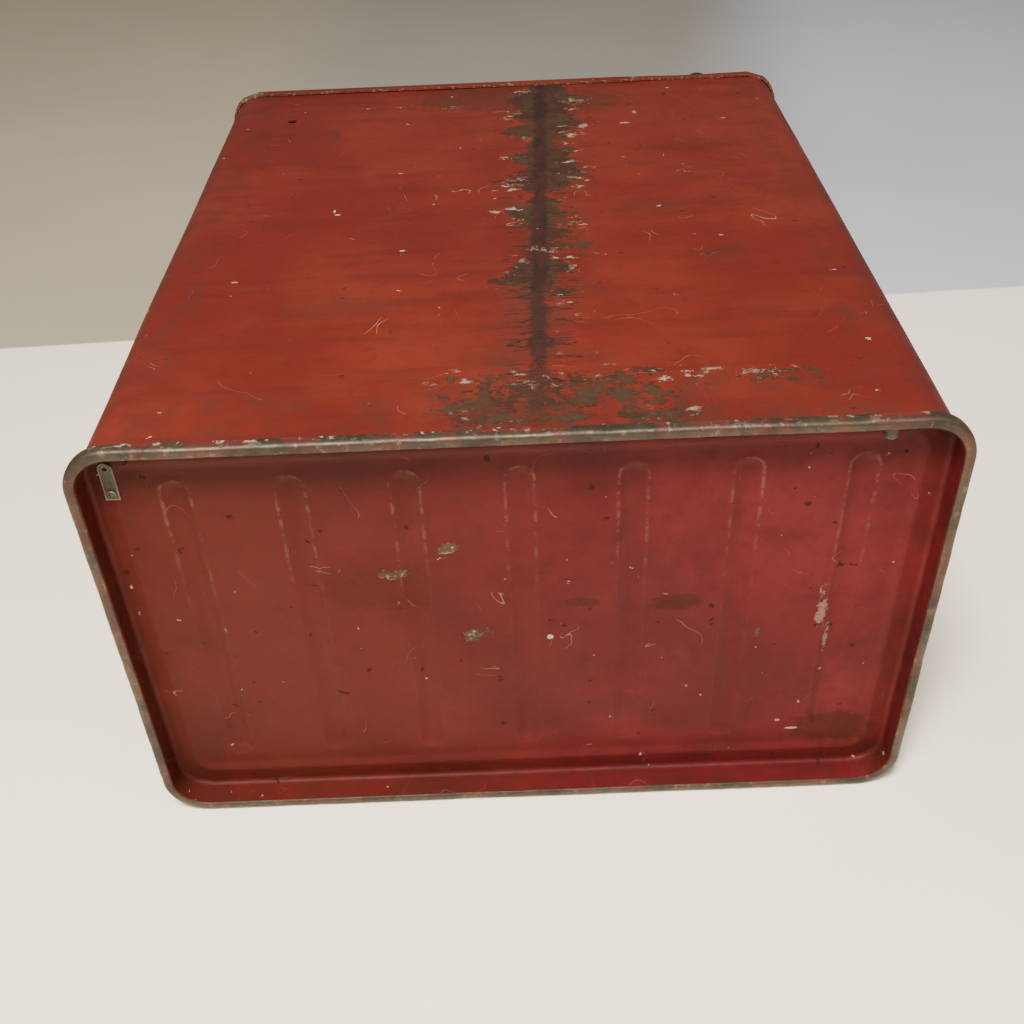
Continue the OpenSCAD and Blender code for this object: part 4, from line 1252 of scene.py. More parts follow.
@dataclass
class BasePan:
    """The pressed base pan: a flat margin, a crease and seven round-ended grooves."""

    sheet: float = 0.8 * MM
    step: float = 1.6 * MM
    corner_r: float = 15.2 * MM
    foot_r: float = 2.2 * MM
    recess: float = 13.0 * MM
    margin: float = 11.5 * MM
    crease: float = 1.0 * MM
    grooves: int = 7
    groove_w: float = 12.0 * MM
    pressed: float = 1.5 * MM
    lip: float = 0.25 * MM
    groove_pitch: float = 45.8 * MM
    groove_gap: float = 19.7 * MM
    finish: Paint = field(default_factory=lambda: PanPaint(
        "pan_enamel", colour=(0.080, 0.0050, 0.0066), faded=(0.106, 0.0090, 0.0110),
        dark=(0.034, 0.0030, 0.0036),
        grime_amount=0.34, chip_share=0.10, roughness=0.50, specular=0.12, edge_radius=0.0, hairs=0.55,
        pale_marks=(Mark((-0.011, -0.012, 0.014), (0.0020, 0.0018, 0.012), 0.4),
                    Mark((-0.125, -0.079, 0.014), (0.0050, 0.0010, 0.012), 0.5, 0.05, 0.8),
                    Mark((-0.118, -0.073, 0.014), (0.0018, 0.0012, 0.012), 0.5, 0.05, 0.6),
                    Mark((-0.130, -0.002, 0.014), (0.0026, 0.0110, 0.012), 2.2, 0.10, 0.32),
                    Mark((-0.134, -0.020, 0.014), (0.0014, 0.0090, 0.012), 2.2, 0.10, 0.30)),
        dirty_marks=(Mark((-0.146, -0.079, 0.014), (0.024, 0.012, 0.012), 1.1, 0.35, 0.75),
                     Mark((-0.066, 0.006, 0.014), (0.013, 0.005, 0.012), 1.0, 0.4, 0.8),
                     Mark((-0.024, 0.008, 0.014), (0.010, 0.003, 0.012), 1.2, 0.3, 0.7),
                     Mark((0.056, 0.020, 0.014), (0.030, 0.012, 0.012), 1.2, 0.5, 0.4)),
        bare_marks=(Mark((0.022, -0.009, 0.014), (0.0070, 0.0050, 0.012), 1.2, 0.1, 0.9),
                    Mark((0.031, 0.042, 0.014), (0.0060, 0.0036, 0.012), 1.2, 0.1, 0.85),
                    Mark((0.055, 0.028, 0.014), (0.0080, 0.0030, 0.012), 1.3, 0.1, 0.7),
                    Mark((-0.103, -0.014, 0.014), (0.0016, 0.0034, 0.012), 0.8, 0.1, 0.8))))

    def rise(self, x: float, y: float, half_w: float, half_d: float) -> float:
        """How far the pan's under face lies above the margin at a place.

        Args:
            x: place across.
            y: place along the depth.
            half_w: half the pan's width inside its wall.
            half_d: half the pan's depth inside its wall.

        Returns:
            The rise, in metres.
        """
        inset = self.rounded_inset(x, y, half_w - self.margin, half_d - self.margin, 6 * MM)
        field_in = smooth_step(inset, -0.8 * MM, 1.4 * MM)
        up = self.crease * field_in
        # a small rolled bead stands on the margin's inner edge
        up -= 0.35 * MM * math.exp(-((inset + 2.2 * MM) / (1.4 * MM)) ** 2)
        first = -(self.grooves - 1) / 2 * self.groove_pitch
        n = min(self.grooves - 1, max(0, round((x - first) / self.groove_pitch)))
        dx = x - (first + n * self.groove_pitch)
        dy = max(0.0, abs(y) - (half_d - self.groove_gap - self.groove_w / 2))
        away = math.hypot(dx, dy)
        up += self.pressed * smooth_step(self.groove_w / 2 - away, -0.6 * MM, 5.4 * MM)
        lip = self.lip * (0.6 + 0.9 * smooth_step(y, 10 * MM, 70 * MM))
        up -= lip * math.exp(-((away - self.groove_w / 2 - 0.4 * MM) / (1.1 * MM)) ** 2)
        up += 0.30 * MM * ripple(x, y, 0.0, 13.0, 1.0) + 0.10 * MM * ripple(x, y, 0.0, 45.0, 5.0)
        return up

    @staticmethod
    def rounded_inset(x: float, y: float, half_w: float, half_d: float, radius: float) -> float:
        """How far inside a round-cornered rectangle a place lies; below 0 is outside."""
        qx, qy = abs(x) - half_w + radius, abs(y) - half_d + radius
        return radius - math.hypot(max(qx, 0.0), max(qy, 0.0)) - min(max(qx, qy), 0.0)

    def build(self) -> None:
        """Builds and dresses the pan."""
        low, high = size_of("base_pan")
        wall = self.sheet
        half_w, half_d = high.x - wall, high.y - wall
        inner_w, inner_d = half_w - self.foot_r, half_d - self.foot_r
        radius = self.corner_r - self.foot_r
        sheet = Sheet("pressed_pan")
        edge = sheet.plate(inner_w, inner_d, radius, self.step,
                           lambda x, y: self.recess + self.rise(x, y, half_w, half_d))
        rim = [sheet.points[i] for i in edge]
        # the wall turns down from the plate on a small radius
        rings = []
        for t in (18, 36, 54, 72, 90):
            turn = math.radians(t)
            out, drop = self.foot_r * math.sin(turn), self.foot_r * (1 - math.cos(turn))
            rings.append([pushed(p, inner_w, inner_d, radius, out, p[2] - drop) for p in rim])
        for z in spread(self.recess - self.foot_r - 1.5 * MM, low.z + 0.1 * MM, 2.0 * MM):
            rings.append([pushed(p, inner_w, inner_d, radius,
                                 self.foot_r - 0.12 * MM * (1 + ripple(*p, 30.0)), z) for p in rim])
        sheet.skirt(edge, rings)
        sheet.faces = [tuple(reversed(f)) for f in sheet.faces]
        obj = sheet.build(thickness=self.sheet)
        place(obj, Body.CABINET, "base_paint", self.finish, "base_pan")


@dataclass
class BaseRim:
    """The rolled rim round the foot, wavy and knocked about."""

    step: float = 1.8 * MM
    inner_half_w: float = 171.0 * MM
    inner_half_d: float = 102.75 * MM
    inner_r: float = 16.0 * MM
    section: tuple[tuple[float, float], ...] = (
        (-0.7, 1.0), (-0.45, 0.35), (0.2, 0.05), (1.0, 0.0), (1.9, 0.0), (2.6, 0.08), (3.3, 0.45),
        (3.8, 1.1),
        (4.0, 2.0), (4.0, 3.2), (4.0, 4.4), (3.85, 5.3), (3.4, 6.05), (2.6, 6.45), (1.7, 6.5), (1.0, 6.3),
        (0.4, 5.6), (0.0, 4.6), (-0.1, 3.2), (-0.6, 2.2))
    finish: Metal = field(default_factory=lambda: RimMetal(
        "rim_steel", colour=(0.044, 0.031, 0.015), tarnish=(0.020, 0.013, 0.006), rust_amount=0.40,
        metallic=0.30, roughness=0.50, bright=(0.40, 0.29, 0.22), edge_radius=0.0))

    def build(self) -> None:
        """Builds and dresses the rim."""
        outline = Outline(self.inner_half_w, self.inner_half_d, self.inner_r)
        rows = []
        for s in outline.stations(self.step):
            ring = []
            for out, up in self.section:
                knock = max(0.0, ripple(s.x, s.y, up * MM, 34.0, 2.0)) * 0.55
                knock += max(0.0, ripple(s.x, s.y, up * MM, 120.0, 9.0)) * 0.35
                lift = max(0.0, ripple(s.x, s.y, 0.0, 22.0, 4.0)) * 0.5
                nick = max(0.0, ripple(s.x, s.y, 0.0, 210.0, 6.0) - 0.35) * 1.4
                x = out - (knock + nick * (up > 4)) * (0.5 + out / 8)
                z = min(6.5, max(0.0, up + (lift + 0.3 * nick) * (1 - up / 6.5) - 0.4 * nick * (up > 4)))
                ring.append((s.x + s.nx * x * MM, s.y + s.ny * x * MM, z * MM))
            rows.append(ring)
        rows.append(rows[0])
        sheet = Sheet("rolled_rim")
        sheet.band(rows)
        sheet.faces = [tuple(reversed(f)) for f in sheet.faces]
        place(sheet.build(), Body.CABINET, "rim_metal", self.finish, "base_rim")


@dataclass
class LidTray:
    """The lid: a shallow tray with a wavy lip, bulged where it has been forced."""

    sheet: float = 1.2 * MM
    step: float = 3.0 * MM
    radius: float = 18.8 * MM
    bend: float = 1.8 * MM
    bulge: tuple[float, float] = (-147 * MM, -68 * MM)
    finish: Paint = field(default_factory=lambda: Paint(
        "lid_enamel", wear=0.34, edge_radius=0.0013, grime_amount=0.42, chip_share=0.06,
        bare_marks=(Mark((-0.083, 0.1045, 0.396), (0.0035, 0.006, 0.005), 0.8),
                    Mark((0.160, 0.1030, 0.392), (0.010, 0.008, 0.006), 1.0, 0.2, 0.8))))

    def build(self) -> None:
        """Builds and dresses the lid."""
        low, high = size_of("lid")
        bend = self.bend
        half_w, half_d, radius = high.x - bend, high.y - bend, self.radius - bend

        def top(x: float, y: float) -> float:
            """The lid's top, with a pressed step inside its edge and a shallow crown."""
            inset = BasePan.rounded_inset(x, y, high.x, high.y, self.radius)
            fall = 0.75 * MM * smooth_step(inset, 8 * MM, 11 * MM)
            return high.z - 0.02 * MM - fall - 0.20 * MM * (1 + ripple(x, y, 0.0, 14.0, 5.0)) * smooth_step(
                inset, 4 * MM, 12 * MM)

        sheet = Sheet("lid_tray")
        edge = sheet.plate(half_w, half_d, radius, self.step, top)
        rim = [sheet.points[i] for i in edge]
        rings = []
        for t in (22.5, 45, 67.5, 90):
            a = math.radians(t)
            rings.append([pushed(p, half_w, half_d, radius, bend * math.sin(a) - 0.05 * MM,
                                 p[2] - bend * (1 - math.cos(a))) for p in rim])
        for share in (0.2, 0.4, 0.6, 0.8, 1.0):
            ring = []
            for p in rim:
                inward, up = self.lip(p[0], p[1])
                foot = low.z + up
                z = high.z - bend + (foot - high.z + bend) * share
                ring.append(pushed(p, half_w, half_d, radius, bend - 0.05 * MM - inward * share, z))
            rings.append(ring)
        sheet.skirt(edge, rings)
        sheet.points = [(x, y - self.forced(x, y), z) for x, y, z in sheet.points]
        lock_low, lock_high = size_of("lock_housing")
        at = ((lock_low.x + lock_high.x) / 2, (lock_low.y + lock_high.y) / 2, high.z)
        hole = bore("lock_hole", at, "z", (lock_high.x - lock_low.x) / 2 - 1.25 * MM, 20 * MM)
        obj = sheet.build(thickness=self.sheet, cuts=[hole])
        place(obj, Body.LID, "lid_paint", self.finish, "lid")

    def forced(self, x: float, y: float) -> float:
        """How far the back edge has been pushed in at a place."""
        return pushed_in(x) * smooth_step(y, 86 * MM, 98 * MM)

    def lip(self, x: float, y: float) -> tuple[float, float]:
        """How far in the skirt's foot lies, and how far up it is, at a place on the edge."""
        inward = 0.25 * MM * (1 + ripple(x, y, 0.0, 16.0, 2.0))
        up = 0.5 * MM * (1 + ripple(x, y, 0.0, 24.0, 8.0))
        if y > 0 and self.bulge[0] < x < self.bulge[1]:
            forced = math.sin(math.pi * (x - self.bulge[0]) / (self.bulge[1] - self.bulge[0])) ** 2
            up += 1.6 * MM * forced
            inward *= 1 - 0.7 * forced
        return inward, up


@dataclass
class Lock:
    """The pop-up lock: a turned barrel in a flanged housing, with its key plug."""

    shoulder: float = 3.0 * MM
    plug_r: float = 5.6 * MM
    finish: Metal = field(default_factory=lambda: Metal(
        "lock_steel", colour=(0.040, 0.032, 0.020), tarnish=(0.019, 0.015, 0.010), rust_amount=0.40,
        metallic=0.6, roughness=0.45, shine=0.30, bright=(0.22, 0.18, 0.12)))
    brass: Metal = field(default_factory=lambda: Metal(
        "key_brass", colour=(0.22, 0.15, 0.055), tarnish=(0.10, 0.065, 0.025), rust=(0.05, 0.035, 0.015),
        bright=(0.55, 0.42, 0.20), metallic=0.8, roughness=0.38, rust_amount=0.25))

    def build(self) -> None:
        """Builds and dresses the barrel, the housing and the plug."""
        low, high = size_of("lock_barrel")
        x, y = (low.x + high.x) / 2, (low.y + high.y) / 2
        r, total = (high.x - low.x) / 2, high.z - low.z
        nose = 4.0 * MM
        barrel = Sheet("barrel")
        arc = [(r - self.shoulder * (1 - math.cos(math.radians(t))),
                total - self.shoulder * (1 - math.sin(math.radians(t)))) for t in range(0, 91, 15)]
        body_foot = total - (size_of("lock_barrel")[1].z - size_of("lid")[1].z) - 18.0 * MM
        barrel.turned((x, y, low.z), "z", [
            (nose - 0.6 * MM, 0.05 * MM), (nose - 0.05 * MM, 0.7 * MM),
            (nose - 0.05 * MM, body_foot - 1.0 * MM),
            (r - 0.6 * MM, body_foot), (r - 0.02 * MM, body_foot + 0.6 * MM),
            (r - 0.02 * MM, total - self.shoulder - 4.4 * MM),
            (r - 0.30 * MM, total - self.shoulder - 4.0 * MM),
            (r - 0.30 * MM, total - self.shoulder - 3.4 * MM),
            (r - 0.02 * MM, total - self.shoulder - 3.0 * MM),
            *arc[:-1], (self.plug_r + 1.0 * MM, total - 0.02 * MM),
            (self.plug_r + 0.3 * MM, total - 0.35 * MM)], 64)
        obj = barrel.build(cuts=[bore("plug_hole", (x, y, high.z), "z", self.plug_r, 30.4 * MM)])
        place(obj, Body.LOCK, "lock_metal", self.finish, "lock_barrel")

        low, high = size_of("lock_housing")
        tube = (high.x - low.x) / 2 - 1.3 * MM
        lid_top = size_of("lid")[1].z
        housing = Sheet("housing")
        housing.turned((x, y, 0.0), "z", [
            (tube - 0.4 * MM, low.z), (tube, low.z + 0.4 * MM), (tube, lid_top),
            (tube + 1.25 * MM, lid_top + 0.02 * MM), (tube + 1.25 * MM, lid_top + 0.45 * MM),
            (tube + 0.6 * MM, high.z - 0.05 * MM), (tube - 0.6 * MM, high.z)], 64)
        bores = [bore("main", (x, y, high.z), "z", r + 0.06 * MM, 2 * (high.z - low.z) - 3.4 * MM),
                 bore("nose", (x, y, low.z), "z", nose + 0.6 * MM, 12 * MM)]
        place(housing.build(cuts=bores, bevel=0.12 * MM), Body.LID, "lock_metal", self.finish,
              "lock_housing")

        low, high = size_of("key_plug")
        plug = Sheet("plug")
        pr = (high.x - low.x) / 2
        plug.turned((x, y, 0.0), "z", [(pr, low.z), (pr, high.z - 0.5 * MM), (pr - 0.5 * MM, high.z)], 48)
        slot = Sheet("keyway")
        slot.box((x - 0.9 * MM, y - 3.5 * MM, low.z + 3 * MM),
                 (x + 0.9 * MM, y + 3.5 * MM, high.z + 1 * MM))
        place(plug.build(cuts=[slot], bevel=0.10 * MM), Body.KEY, "key_brass", self.brass, "key_plug")


@dataclass
class FrontDoor:
    """The windowed front door with its hemmed edges, its pressed frame and its finger pull."""

    paint: Paint
    window_r: float = 8.0 * MM
    bead_gap: float = 9.0 * MM
    bead_w: float = 5.0 * MM
    bead_up: float = 0.55 * MM
    step: float = 3.0 * MM
    pane: Pane = field(default_factory=lambda: Pane("pane_plastic"))

    def build(self) -> None:
        """Builds and dresses the door sheet, the pull and the pane."""
        low, high = size_of("door")
        pane_low, pane_high = size_of("window_pane")
        pull_low, pull_high = size_of("door_pull")
        lap = 8.0 * MM
        win_low = (pane_low.x + lap, pane_low.z + lap)
        win_high = (pane_high.x - lap, pane_high.z - lap)
        mouth_low, mouth_high = (pull_low.x + 3 * MM, pull_low.z + 3 * MM), (pull_high.x - 3 * MM,
                                                                            pull_high.z - 7 * MM)
        sheet = Sheet("door_sheet")
        base = low.y + self.bead_up
        rows = []
        xs = spread(low.x, high.x, self.step, (win_low[0], win_high[0], mouth_low[0], mouth_high[0]))
        zs = spread(low.z, high.z, self.step, (win_low[1], win_high[1], mouth_low[1], mouth_high[1]))
        middle = ((win_low[0] + win_high[0]) / 2, (win_low[1] + win_high[1]) / 2)
        half = ((win_high[0] - win_low[0]) / 2 + self.bead_gap,
                (win_high[1] - win_low[1]) / 2 + self.bead_gap)
        for z in zs:
            row = []
            for x in xs:
                inset = BasePan.rounded_inset(x - middle[0], z - middle[1], *half, 14 * MM)
                bead = self.bead_up * math.exp(-(inset / (self.bead_w / 2)) ** 2)
                row.append((x, base - bead + 0.10 * MM * (1 + ripple(x, 0.0, z, 16.0, 4.0)), z))
            rows.append(row)

        def keep(i: int, j: int) -> bool:
            """Whether a cell is sheet, and not the finger pull's mouth."""
            x, z = (xs[j] + xs[j + 1]) / 2, (zs[i] + zs[i + 1]) / 2
            return not (mouth_low[0] < x < mouth_high[0] and mouth_low[1] < z < mouth_high[1])

        sheet.band(rows, closed=False, keep=keep)
        window = block_cut("window_cut", (win_low[0], low.y - 2 * MM, win_low[1]),
                           (win_high[0], high.y + 4 * MM, win_high[1]), self.window_r)
        obj = sheet.build(thickness=0.9 * MM, cuts=[window], bevel=0.25 * MM, segments=2)
        hem = Sheet("hem")
        back = high.y - 0.8 * MM
        for x0, x1 in ((low.x, low.x + 7 * MM), (high.x - 7 * MM, high.x)):
            hem.box((x0 + 0.1 * MM, back - 0.6 * MM, low.z + 0.1 * MM),
                    (x1, back + 0.75 * MM, high.z - 0.1 * MM))
        hem.box((low.x + 7 * MM, back - 0.6 * MM, low.z + 0.1 * MM),
                (high.x - 7 * MM, back + 0.75 * MM, low.z + 7 * MM))
        place(obj, Body.DOOR, "door_paint", self.paint, "door")
        hems = hem.build(bevel=0.3 * MM, segments=2)
        hems.name = "door_hems"
        place(hems, Body.DOOR, "door_paint", self.paint)

        pull = Sheet("pull_cup")
        cx, cz = (pull_low.x + pull_high.x) / 2, (pull_low.z + pull_high.z) / 2
        w, h = (pull_high.x - pull_low.x) / 2, (pull_high.z - pull_low.z) / 2
        deep = pull_high.y - pull_low.y
        rings = []
        outline = Outline(w, h, 4.2 * MM).stations(3 * MM)
        for inset, y in ((0.0, 0.0), (0.0, 0.35), (0.0, 0.72), (0.7, 0.88), (1.9, 0.97), (4.0, 0.995)):
            rings.append([(cx + s.x - s.nx * inset * MM, pull_low.y + deep * y,
                           cz + s.y - s.ny * inset * MM)
                          for s in outline])
        numbers = pull.band(rings)
        pull.faces.append(tuple(numbers[-1]))
        pull.faces = [tuple(reversed(f)) for f in pull.faces]
        place(pull.build(thickness=0.9 * MM, smooth_angle=50), Body.DOOR, "door_paint", self.paint,
              "door_pull")

        pane = Sheet("pane")
        pane.box(pane_low, pane_high)
        place(pane.build(bevel=0.3 * MM, segments=2), Body.DOOR, "pane", self.pane, "window_pane")


@dataclass
class CoinFront:
    """The front's coin plate, the card holder and its blank card."""

    plate: Metal = field(default_factory=lambda: Metal(
        "plate_nickel", colour=(0.36, 0.33, 0.27), tarnish=(0.20, 0.17, 0.12), rust_amount=0.28,
        metallic=0.75,
        roughness=0.36, bright=(0.62, 0.58, 0.50), grain=(1.0, 1.0, 0.12)))
    card: Card = field(default_factory=lambda: Card("card_paper"))

    def build(self) -> None:
        """Builds and dresses the plate, the holder and the card."""
        low, high = size_of("coin_slot_plate")
        cx, cz = (low.x + high.x) / 2, (low.z + high.z) / 2
        w, h = (high.x - low.x) / 2, (high.z - low.z) / 2
        plate = Sheet("coin_plate")
        rings = []
        outline = Outline(w, h, 6.0 * MM).stations(3 * MM)
        for inset, y in ((0.0, 1.0), (0.0, 0.35), (0.4, 0.12), (1.2, 0.0), (4.2, 0.0), (5.0, 0.14),
                         (5.8, 0.20)):
            rings.append([(cx + s.x - s.nx * inset * MM, low.y + (high.y - low.y) * y,
                           cz + s.y - s.ny * inset * MM) for s in outline])
        numbers = plate.band(rings)
        plate.faces.append(tuple(numbers[-1]))
        plate.faces.append(tuple(reversed(numbers[0])))
        slot = block_cut("slot_cut", (cx - 2.5 * MM, low.y - 2 * MM, cz - 18 * MM),
                         (cx + 2.5 * MM, high.y + 2 * MM, cz + 18 * MM), 1.2 * MM)
        place(plate.build(cuts=[slot], bevel=0.25 * MM, segments=2), Body.CABINET, "plate_metal",
              self.plate,
              "coin_slot_plate")

        low, high = size_of("card_holder")
        holder = Sheet("card_frame")
        lip, side = 5 * MM, 1.2 * MM
        holder.box((low.x, low.y, low.z), (low.x + lip, low.y + 1.0 * MM, high.z))
        holder.box((high.x - lip, low.y, low.z), (high.x, low.y + 1.0 * MM, high.z))
        holder.box((low.x + lip, low.y, low.z), (high.x - lip, low.y + 1.0 * MM, low.z + lip))
        holder.box((low.x, low.y + 1.0 * MM, low.z), (low.x + side, high.y, high.z))
        holder.box((high.x - side, low.y + 1.0 * MM, low.z), (high.x, high.y, high.z))
        holder.box((low.x + side, low.y + 1.0 * MM, low.z), (high.x - side, high.y, low.z + side))
        place(holder.build(bevel=0.35 * MM, segments=3), Body.CABINET, "plate_metal", self.plate,
              "card_holder")

        low, high = size_of("blank_card")
        card = Sheet("card")
        curl = 0.15 * MM
        front = []
        for z in spread(low.z, high.z, 3 * MM):
            front.append([(x, low.y + curl * (1 + ripple(x, 0.0, z, 40.0)), z)
                          for x in spread(low.x, high.x, 3 * MM)])
        card.band(front, closed=False)
        place(card.build(thickness=0.3 * MM), Body.CABINET, "card", self.card, "blank_card")


@dataclass
class FootFittings:
    """The corner tab inside the base recess."""

    finish: Metal = field(default_factory=lambda: Metal(
        "tab_steel", colour=(0.062, 0.052, 0.034), tarnish=(0.040, 0.033, 0.021), metallic=0.3,
        rust_amount=0.30,
        roughness=0.56, bright=(0.30, 0.26, 0.21), shine=0.2))

    def build(self) -> None:
        """Builds and dresses the tab."""
        low, high = size_of("corner_tab")
        x, half = (low.x + high.x) / 2, (high.x - low.x) / 2
        tab = Sheet("tab_strip")
        rows = []
        for t in spread(0.0, 1.0, 0.05):
            y = low.y + (high.y - low.y) * t
            to_end = min(1.0, (high.y - y) / half)
            narrow = half * math.sqrt(max(0.05, 1 - (1 - to_end) ** 2))
            lift = 0.35 * MM * math.sin(math.pi * t) + 0.10 * MM * ripple(x, y, 0.0, 200.0)
            rows.append([(x + narrow * u, y, high.z - 0.5 * MM + min(0.4 * MM, lift - 0.15 * MM)
                          - 0.25 * MM * abs(u) ** 3) for u in (-1, -0.6, -0.2, 0.2, 0.6, 1)])
        tab.band(rows, closed=False)
        hole = bore("tab_hole", (x, high.y - half, high.z), "z", 1.1 * MM, 6 * MM)
        tab.faces = [tuple(reversed(f)) for f in tab.faces]
        place(tab.build(thickness=0.5 * MM, cuts=[hole], bevel=0.1 * MM, segments=2), Body.CABINET,
              "rim_metal",
              self.finish, "corner_tab")


@dataclass
class Hardware:
    """The parts whose plain solids stay in view; each gets a finish of its own kind."""

    inner: Paint
    lid: Paint
    door: Paint
    rim: Metal
    lock: Metal
    plate: Metal
    steel: Metal = field(default_factory=lambda: Metal("inner_steel", colour=(0.20, 0.18, 0.14),
                                                       tarnish=(0.11, 0.095, 0.07), rust_amount=0.40))
    hinge: Metal = field(default_factory=lambda: Metal("hinge_steel", colour=(0.17, 0.145, 0.11),
                                                       tarnish=(0.09, 0.07, 0.05), rust_amount=0.45,
                                                       shine=0.5))
    pin: Metal = field(default_factory=lambda: Metal("pin_steel", colour=(0.26, 0.24, 0.21),
                                                     tarnish=(0.13, 0.11, 0.09), metallic=0.8,
                                                     roughness=0.34))
    tin: Metal = field(default_factory=lambda: Metal("tin_plate", colour=(0.33, 0.31, 0.27),
                                                     tarnish=(0.19, 0.17, 0.13), metallic=0.8,
                                                     roughness=0.36))

    def dress(self) -> None:
        """Gives each plain solid the finish of its material slot."""
        by_slot = {"inner_paint": self.inner, "lid_paint": self.lid, "door_paint": self.door,
                   "rim_metal": self.rim, "lock_metal": self.lock, "plate_metal": self.plate,
                   "inner_steel": self.steel, "hinge_steel": self.hinge, "pin_steel": self.pin,
                   "tin_plate": self.tin}
        for entry in frame["record"]["materials"]:
            finish = by_slot.get(entry["slot"])
            for node in slot_nodes(entry["slot"]) if finish else ():
                solid = frame["nodes"][node]
                if not solid.hide_render:
                    solid.data.materials.clear()
                    solid.data.materials.append(finish.material())
                    LOG.info("dressed %s in %s", node, finish.name)


def fold_spring() -> None:
    """Gives the lock's spring a mesh of its own."""
    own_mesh(frame["nodes"]["lock_spring"])


def slot_nodes(slot: str) -> list[str]:
    """The plain solids that the record puts in a material slot."""
    return [part["node"] for part in frame["record"]["subparts"] if part.get("material_slot") == slot]


# ---------------------------------------------------------------- stage


@dataclass(frozen=True)
class Matte(Finish):
    """A plain matte ground that is seen from its front only and throws no shadow; past its break line it is
    painted as the wall, with a painted pool of light.
    """

    near: Colour = (0.95, 0.850, 0.675)
    far: Colour = (0.285, 0.260, 0.222)
    far_left: Colour = (0.370, 0.318, 0.225)
    far_right_painted_light: Colour = (0.490, 0.500, 0.535)
    break_at: float = 0.468
    break_lean: float = 0.0
    seen_only: bool = False

    def wire(self, g: Graph, shader: bpy.types.Node, where: Socket) -> None:
        """Wires the ground.

        Args:
            g: the material's graph.
            shader: its Principled shader.
            where: the place on the ground.
        """
        x, _, z = g.axes(where)
        line = g.add(z, g.times(x, self.break_lean))
        wall = g.span(line, self.break_at - 0.002, self.break_at + 0.002)
        clouds = g.span(g.noise(where, 3.0, 3.0, 0.5), 0.35, 0.65, 0.96, 1.03)
        # past the break line the ground is painted as the wall: grey, warmer towards +X, and lighter and
        # bluer towards -X as a painted pool of light
        far = g.mix(g.span(x, 0.10, 0.34), self.far, self.far_left)
        far = g.mix(g.span(g.add(x, g.times(z, 0.16)), -0.02, -0.24), far, self.far_right_painted_light)
        ground = g.mix(wall, self.near, far)
        shade = g.node("ShaderNodeVectorMath", operation="SCALE")
        g.feed(ground, shade.inputs[0])
        g.feed(clouds, shade.inputs["Scale"])
        g.feed(shade.outputs[0], shader.inputs["Base Color"])
        shader.inputs["Roughness"].default_value = 0.85
        shader.inputs["Specular IOR Level"].default_value = 0.15
        clear = g.node("ShaderNodeBsdfTransparent")
        blend = g.node("ShaderNodeMixShader")
        path = g.node("ShaderNodeLightPath")
        behind = g.node("ShaderNodeNewGeometry").outputs["Backfacing"]
        hidden = g.most(behind, path.outputs["Is Shadow Ray"])
        if self.seen_only:
            hidden = g.most(hidden, g.math("SUBTRACT", 1.0, path.outputs["Is Camera Ray"]))
        g.feed(hidden, blend.inputs[0])
        g.tree.links.new(shader.outputs[0], blend.inputs[1])
        g.tree.links.new(clear.outputs[0], blend.inputs[2])
        output = next(n for n in g.tree.nodes if n.type == "OUTPUT_MATERIAL")
        g.tree.links.new(blend.outputs[0], output.inputs["Surface"])


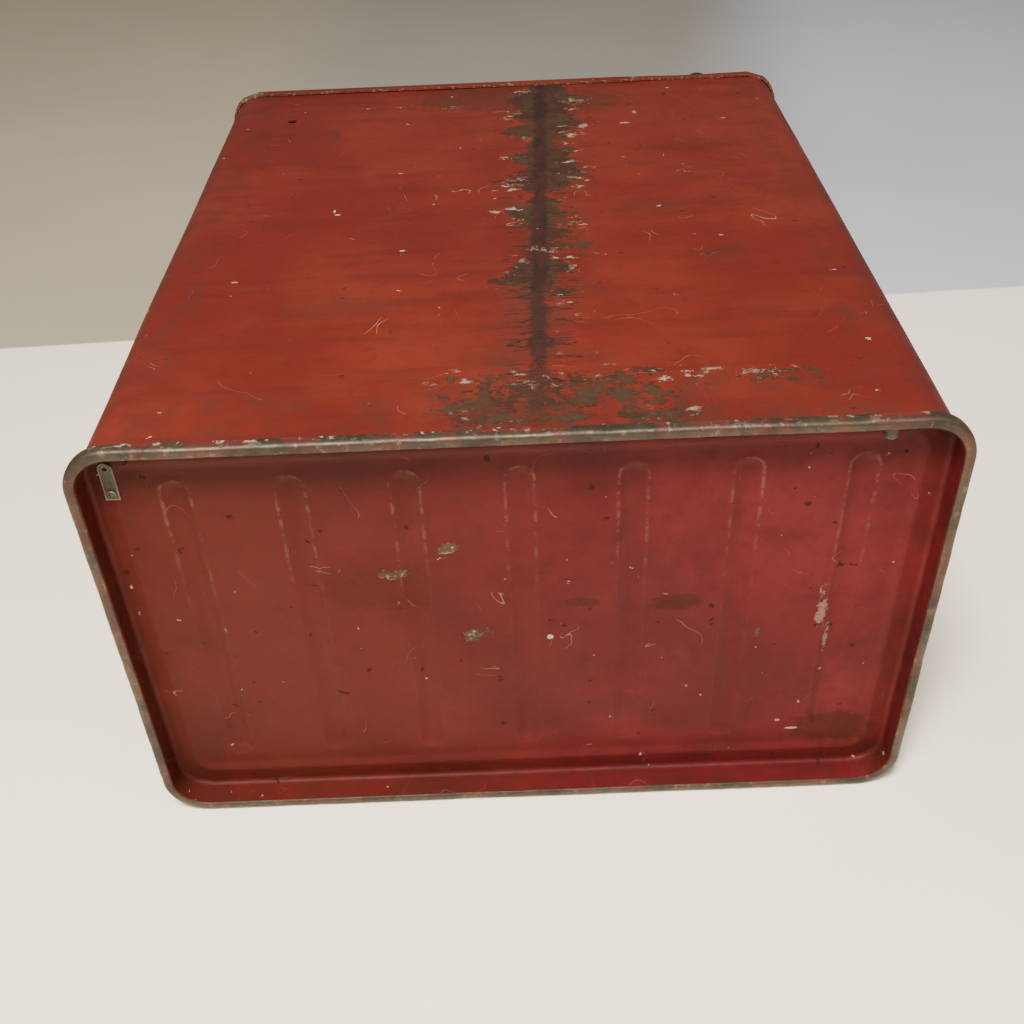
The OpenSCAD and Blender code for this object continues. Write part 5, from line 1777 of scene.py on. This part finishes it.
@dataclass
class Studio:
    """The ground behind and under the box, the lights and the camera."""

    spot: Point = (0.0005, 0.3568, -0.3594)
    right: Point = (-0.999, -0.035, -0.020)
    up: Point = (-0.040, 0.782, 0.623)
    lens: float = 41.34
    back: Matte = field(default_factory=lambda: Matte("ground_back", break_at=0.4725, break_lean=0.041))
    floor: Matte = field(default_factory=lambda: Matte("ground_floor", break_at=9.0, seen_only=True))

    def build(self) -> None:
        """Sets up the ground, the lights and the camera."""
        low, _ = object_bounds()
        wall_y, reach = low[1] - 0.0004, 1.6
        self.ground("backdrop", self.back,
                    [(reach, wall_y, -1.4), (-reach, wall_y, -1.4), (-reach, wall_y, 2.6),
                                            (reach, wall_y, 2.6)])
        self.ground("floor", self.floor,
                    [(-reach, -reach, low[2] - 0.0003), (reach, -reach, low[2] - 0.0003),
                                          (reach, reach, low[2] - 0.0003),
                                          (-reach, reach, low[2] - 0.0003)])
        self.lamp("key", (0.22, 1.36, -0.60), (0.0, 0.0, 0.16), 0.40, 74.0, (1.0, 0.965, 0.90))
        self.lamp("fill_front", (-0.25, -1.5, 1.15), (0.0, 0.0, 0.2), 1.2, 62.0, (0.96, 0.98, 1.0))
        self.lamp("fill_side", (-0.9, 1.0, -0.5), (0.0, 0.0, 0.2), 0.8, 5.0, (0.96, 0.98, 1.0))
        world = bpy.data.worlds.new("studio_air")
        world.use_nodes = True
        air = world.node_tree.nodes["Background"]
        air.inputs["Color"].default_value = (0.86, 0.88, 0.92, 1.0)
        air.inputs["Strength"].default_value = 0.24
        bpy.context.scene.world = world
        data = bpy.data.cameras.new("camera")
        data.lens, data.sensor_width = self.lens, 36.0
        camera = bpy.data.objects.new("camera", data)
        bpy.context.scene.collection.objects.link(camera)
        right = Vector(self.right).normalized()
        up = Vector(self.up)
        up = (up - up.dot(right) * right).normalized()
        turn = Matrix((right, up, right.cross(up))).transposed()
        camera.matrix_world = Matrix.Translation(self.spot) @ turn.to_4x4()
        bpy.context.scene.camera = camera

    @staticmethod
    def ground(name: str, finish: Matte, corners: Sequence[Point]) -> None:
        """Adds a flat ground that faces the way its corners turn."""
        mesh = bpy.data.meshes.new(name)
        mesh.from_pydata(corners, [], [(0, 1, 2, 3)])
        obj = bpy.data.objects.new(name, mesh)
        obj.data.materials.append(finish.material())
        bpy.context.scene.collection.objects.link(obj)
        obj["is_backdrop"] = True

    @staticmethod
    def lamp(name: str, spot: Point, target: Point, size: float, power: float, colour: Colour) -> None:
        """Adds a square soft light that points at a target."""
        data = bpy.data.lights.new(name, "AREA")
        data.shape, data.size, data.energy, data.color = "SQUARE", size, power, colour
        lamp = bpy.data.objects.new(name, data)
        lamp.location = spot
        lamp.rotation_euler = (Vector(target) - Vector(spot)).to_track_quat("-Z", "Y").to_euler()
        bpy.context.scene.collection.objects.link(lamp)


def main() -> None:
    """Builds the box's pieces in order, dresses the plain solids and sets up the studio."""
    logging.basicConfig(level=logging.INFO, format="%(name)s: %(message)s")
    door_paint = Paint("door_enamel", wear=0.55, edge_radius=0.0012, brushed=(1.4, 0.6, 0.25))
    inner_paint = Paint("inner_enamel", colour=(0.105, 0.010, 0.007), faded=(0.130, 0.017, 0.011),
                        grime_amount=0.6, wear=0.4, roughness=0.55)
    shell, pan, rim, lid, lock = BodyShell(), BasePan(), BaseRim(), LidTray(), Lock()
    door, coins, foot = FrontDoor(door_paint), CoinFront(), FootFittings()
    for part in (shell, pan, rim, lid, lock, door, coins, foot):
        part.build()
    Hardware(inner=inner_paint, lid=lid.finish, door=door_paint, rim=foot.finish, lock=lock.finish,
             plate=coins.plate).dress()
    fold_spring()
    Studio().build()


if __name__ == "__main__":
    main()
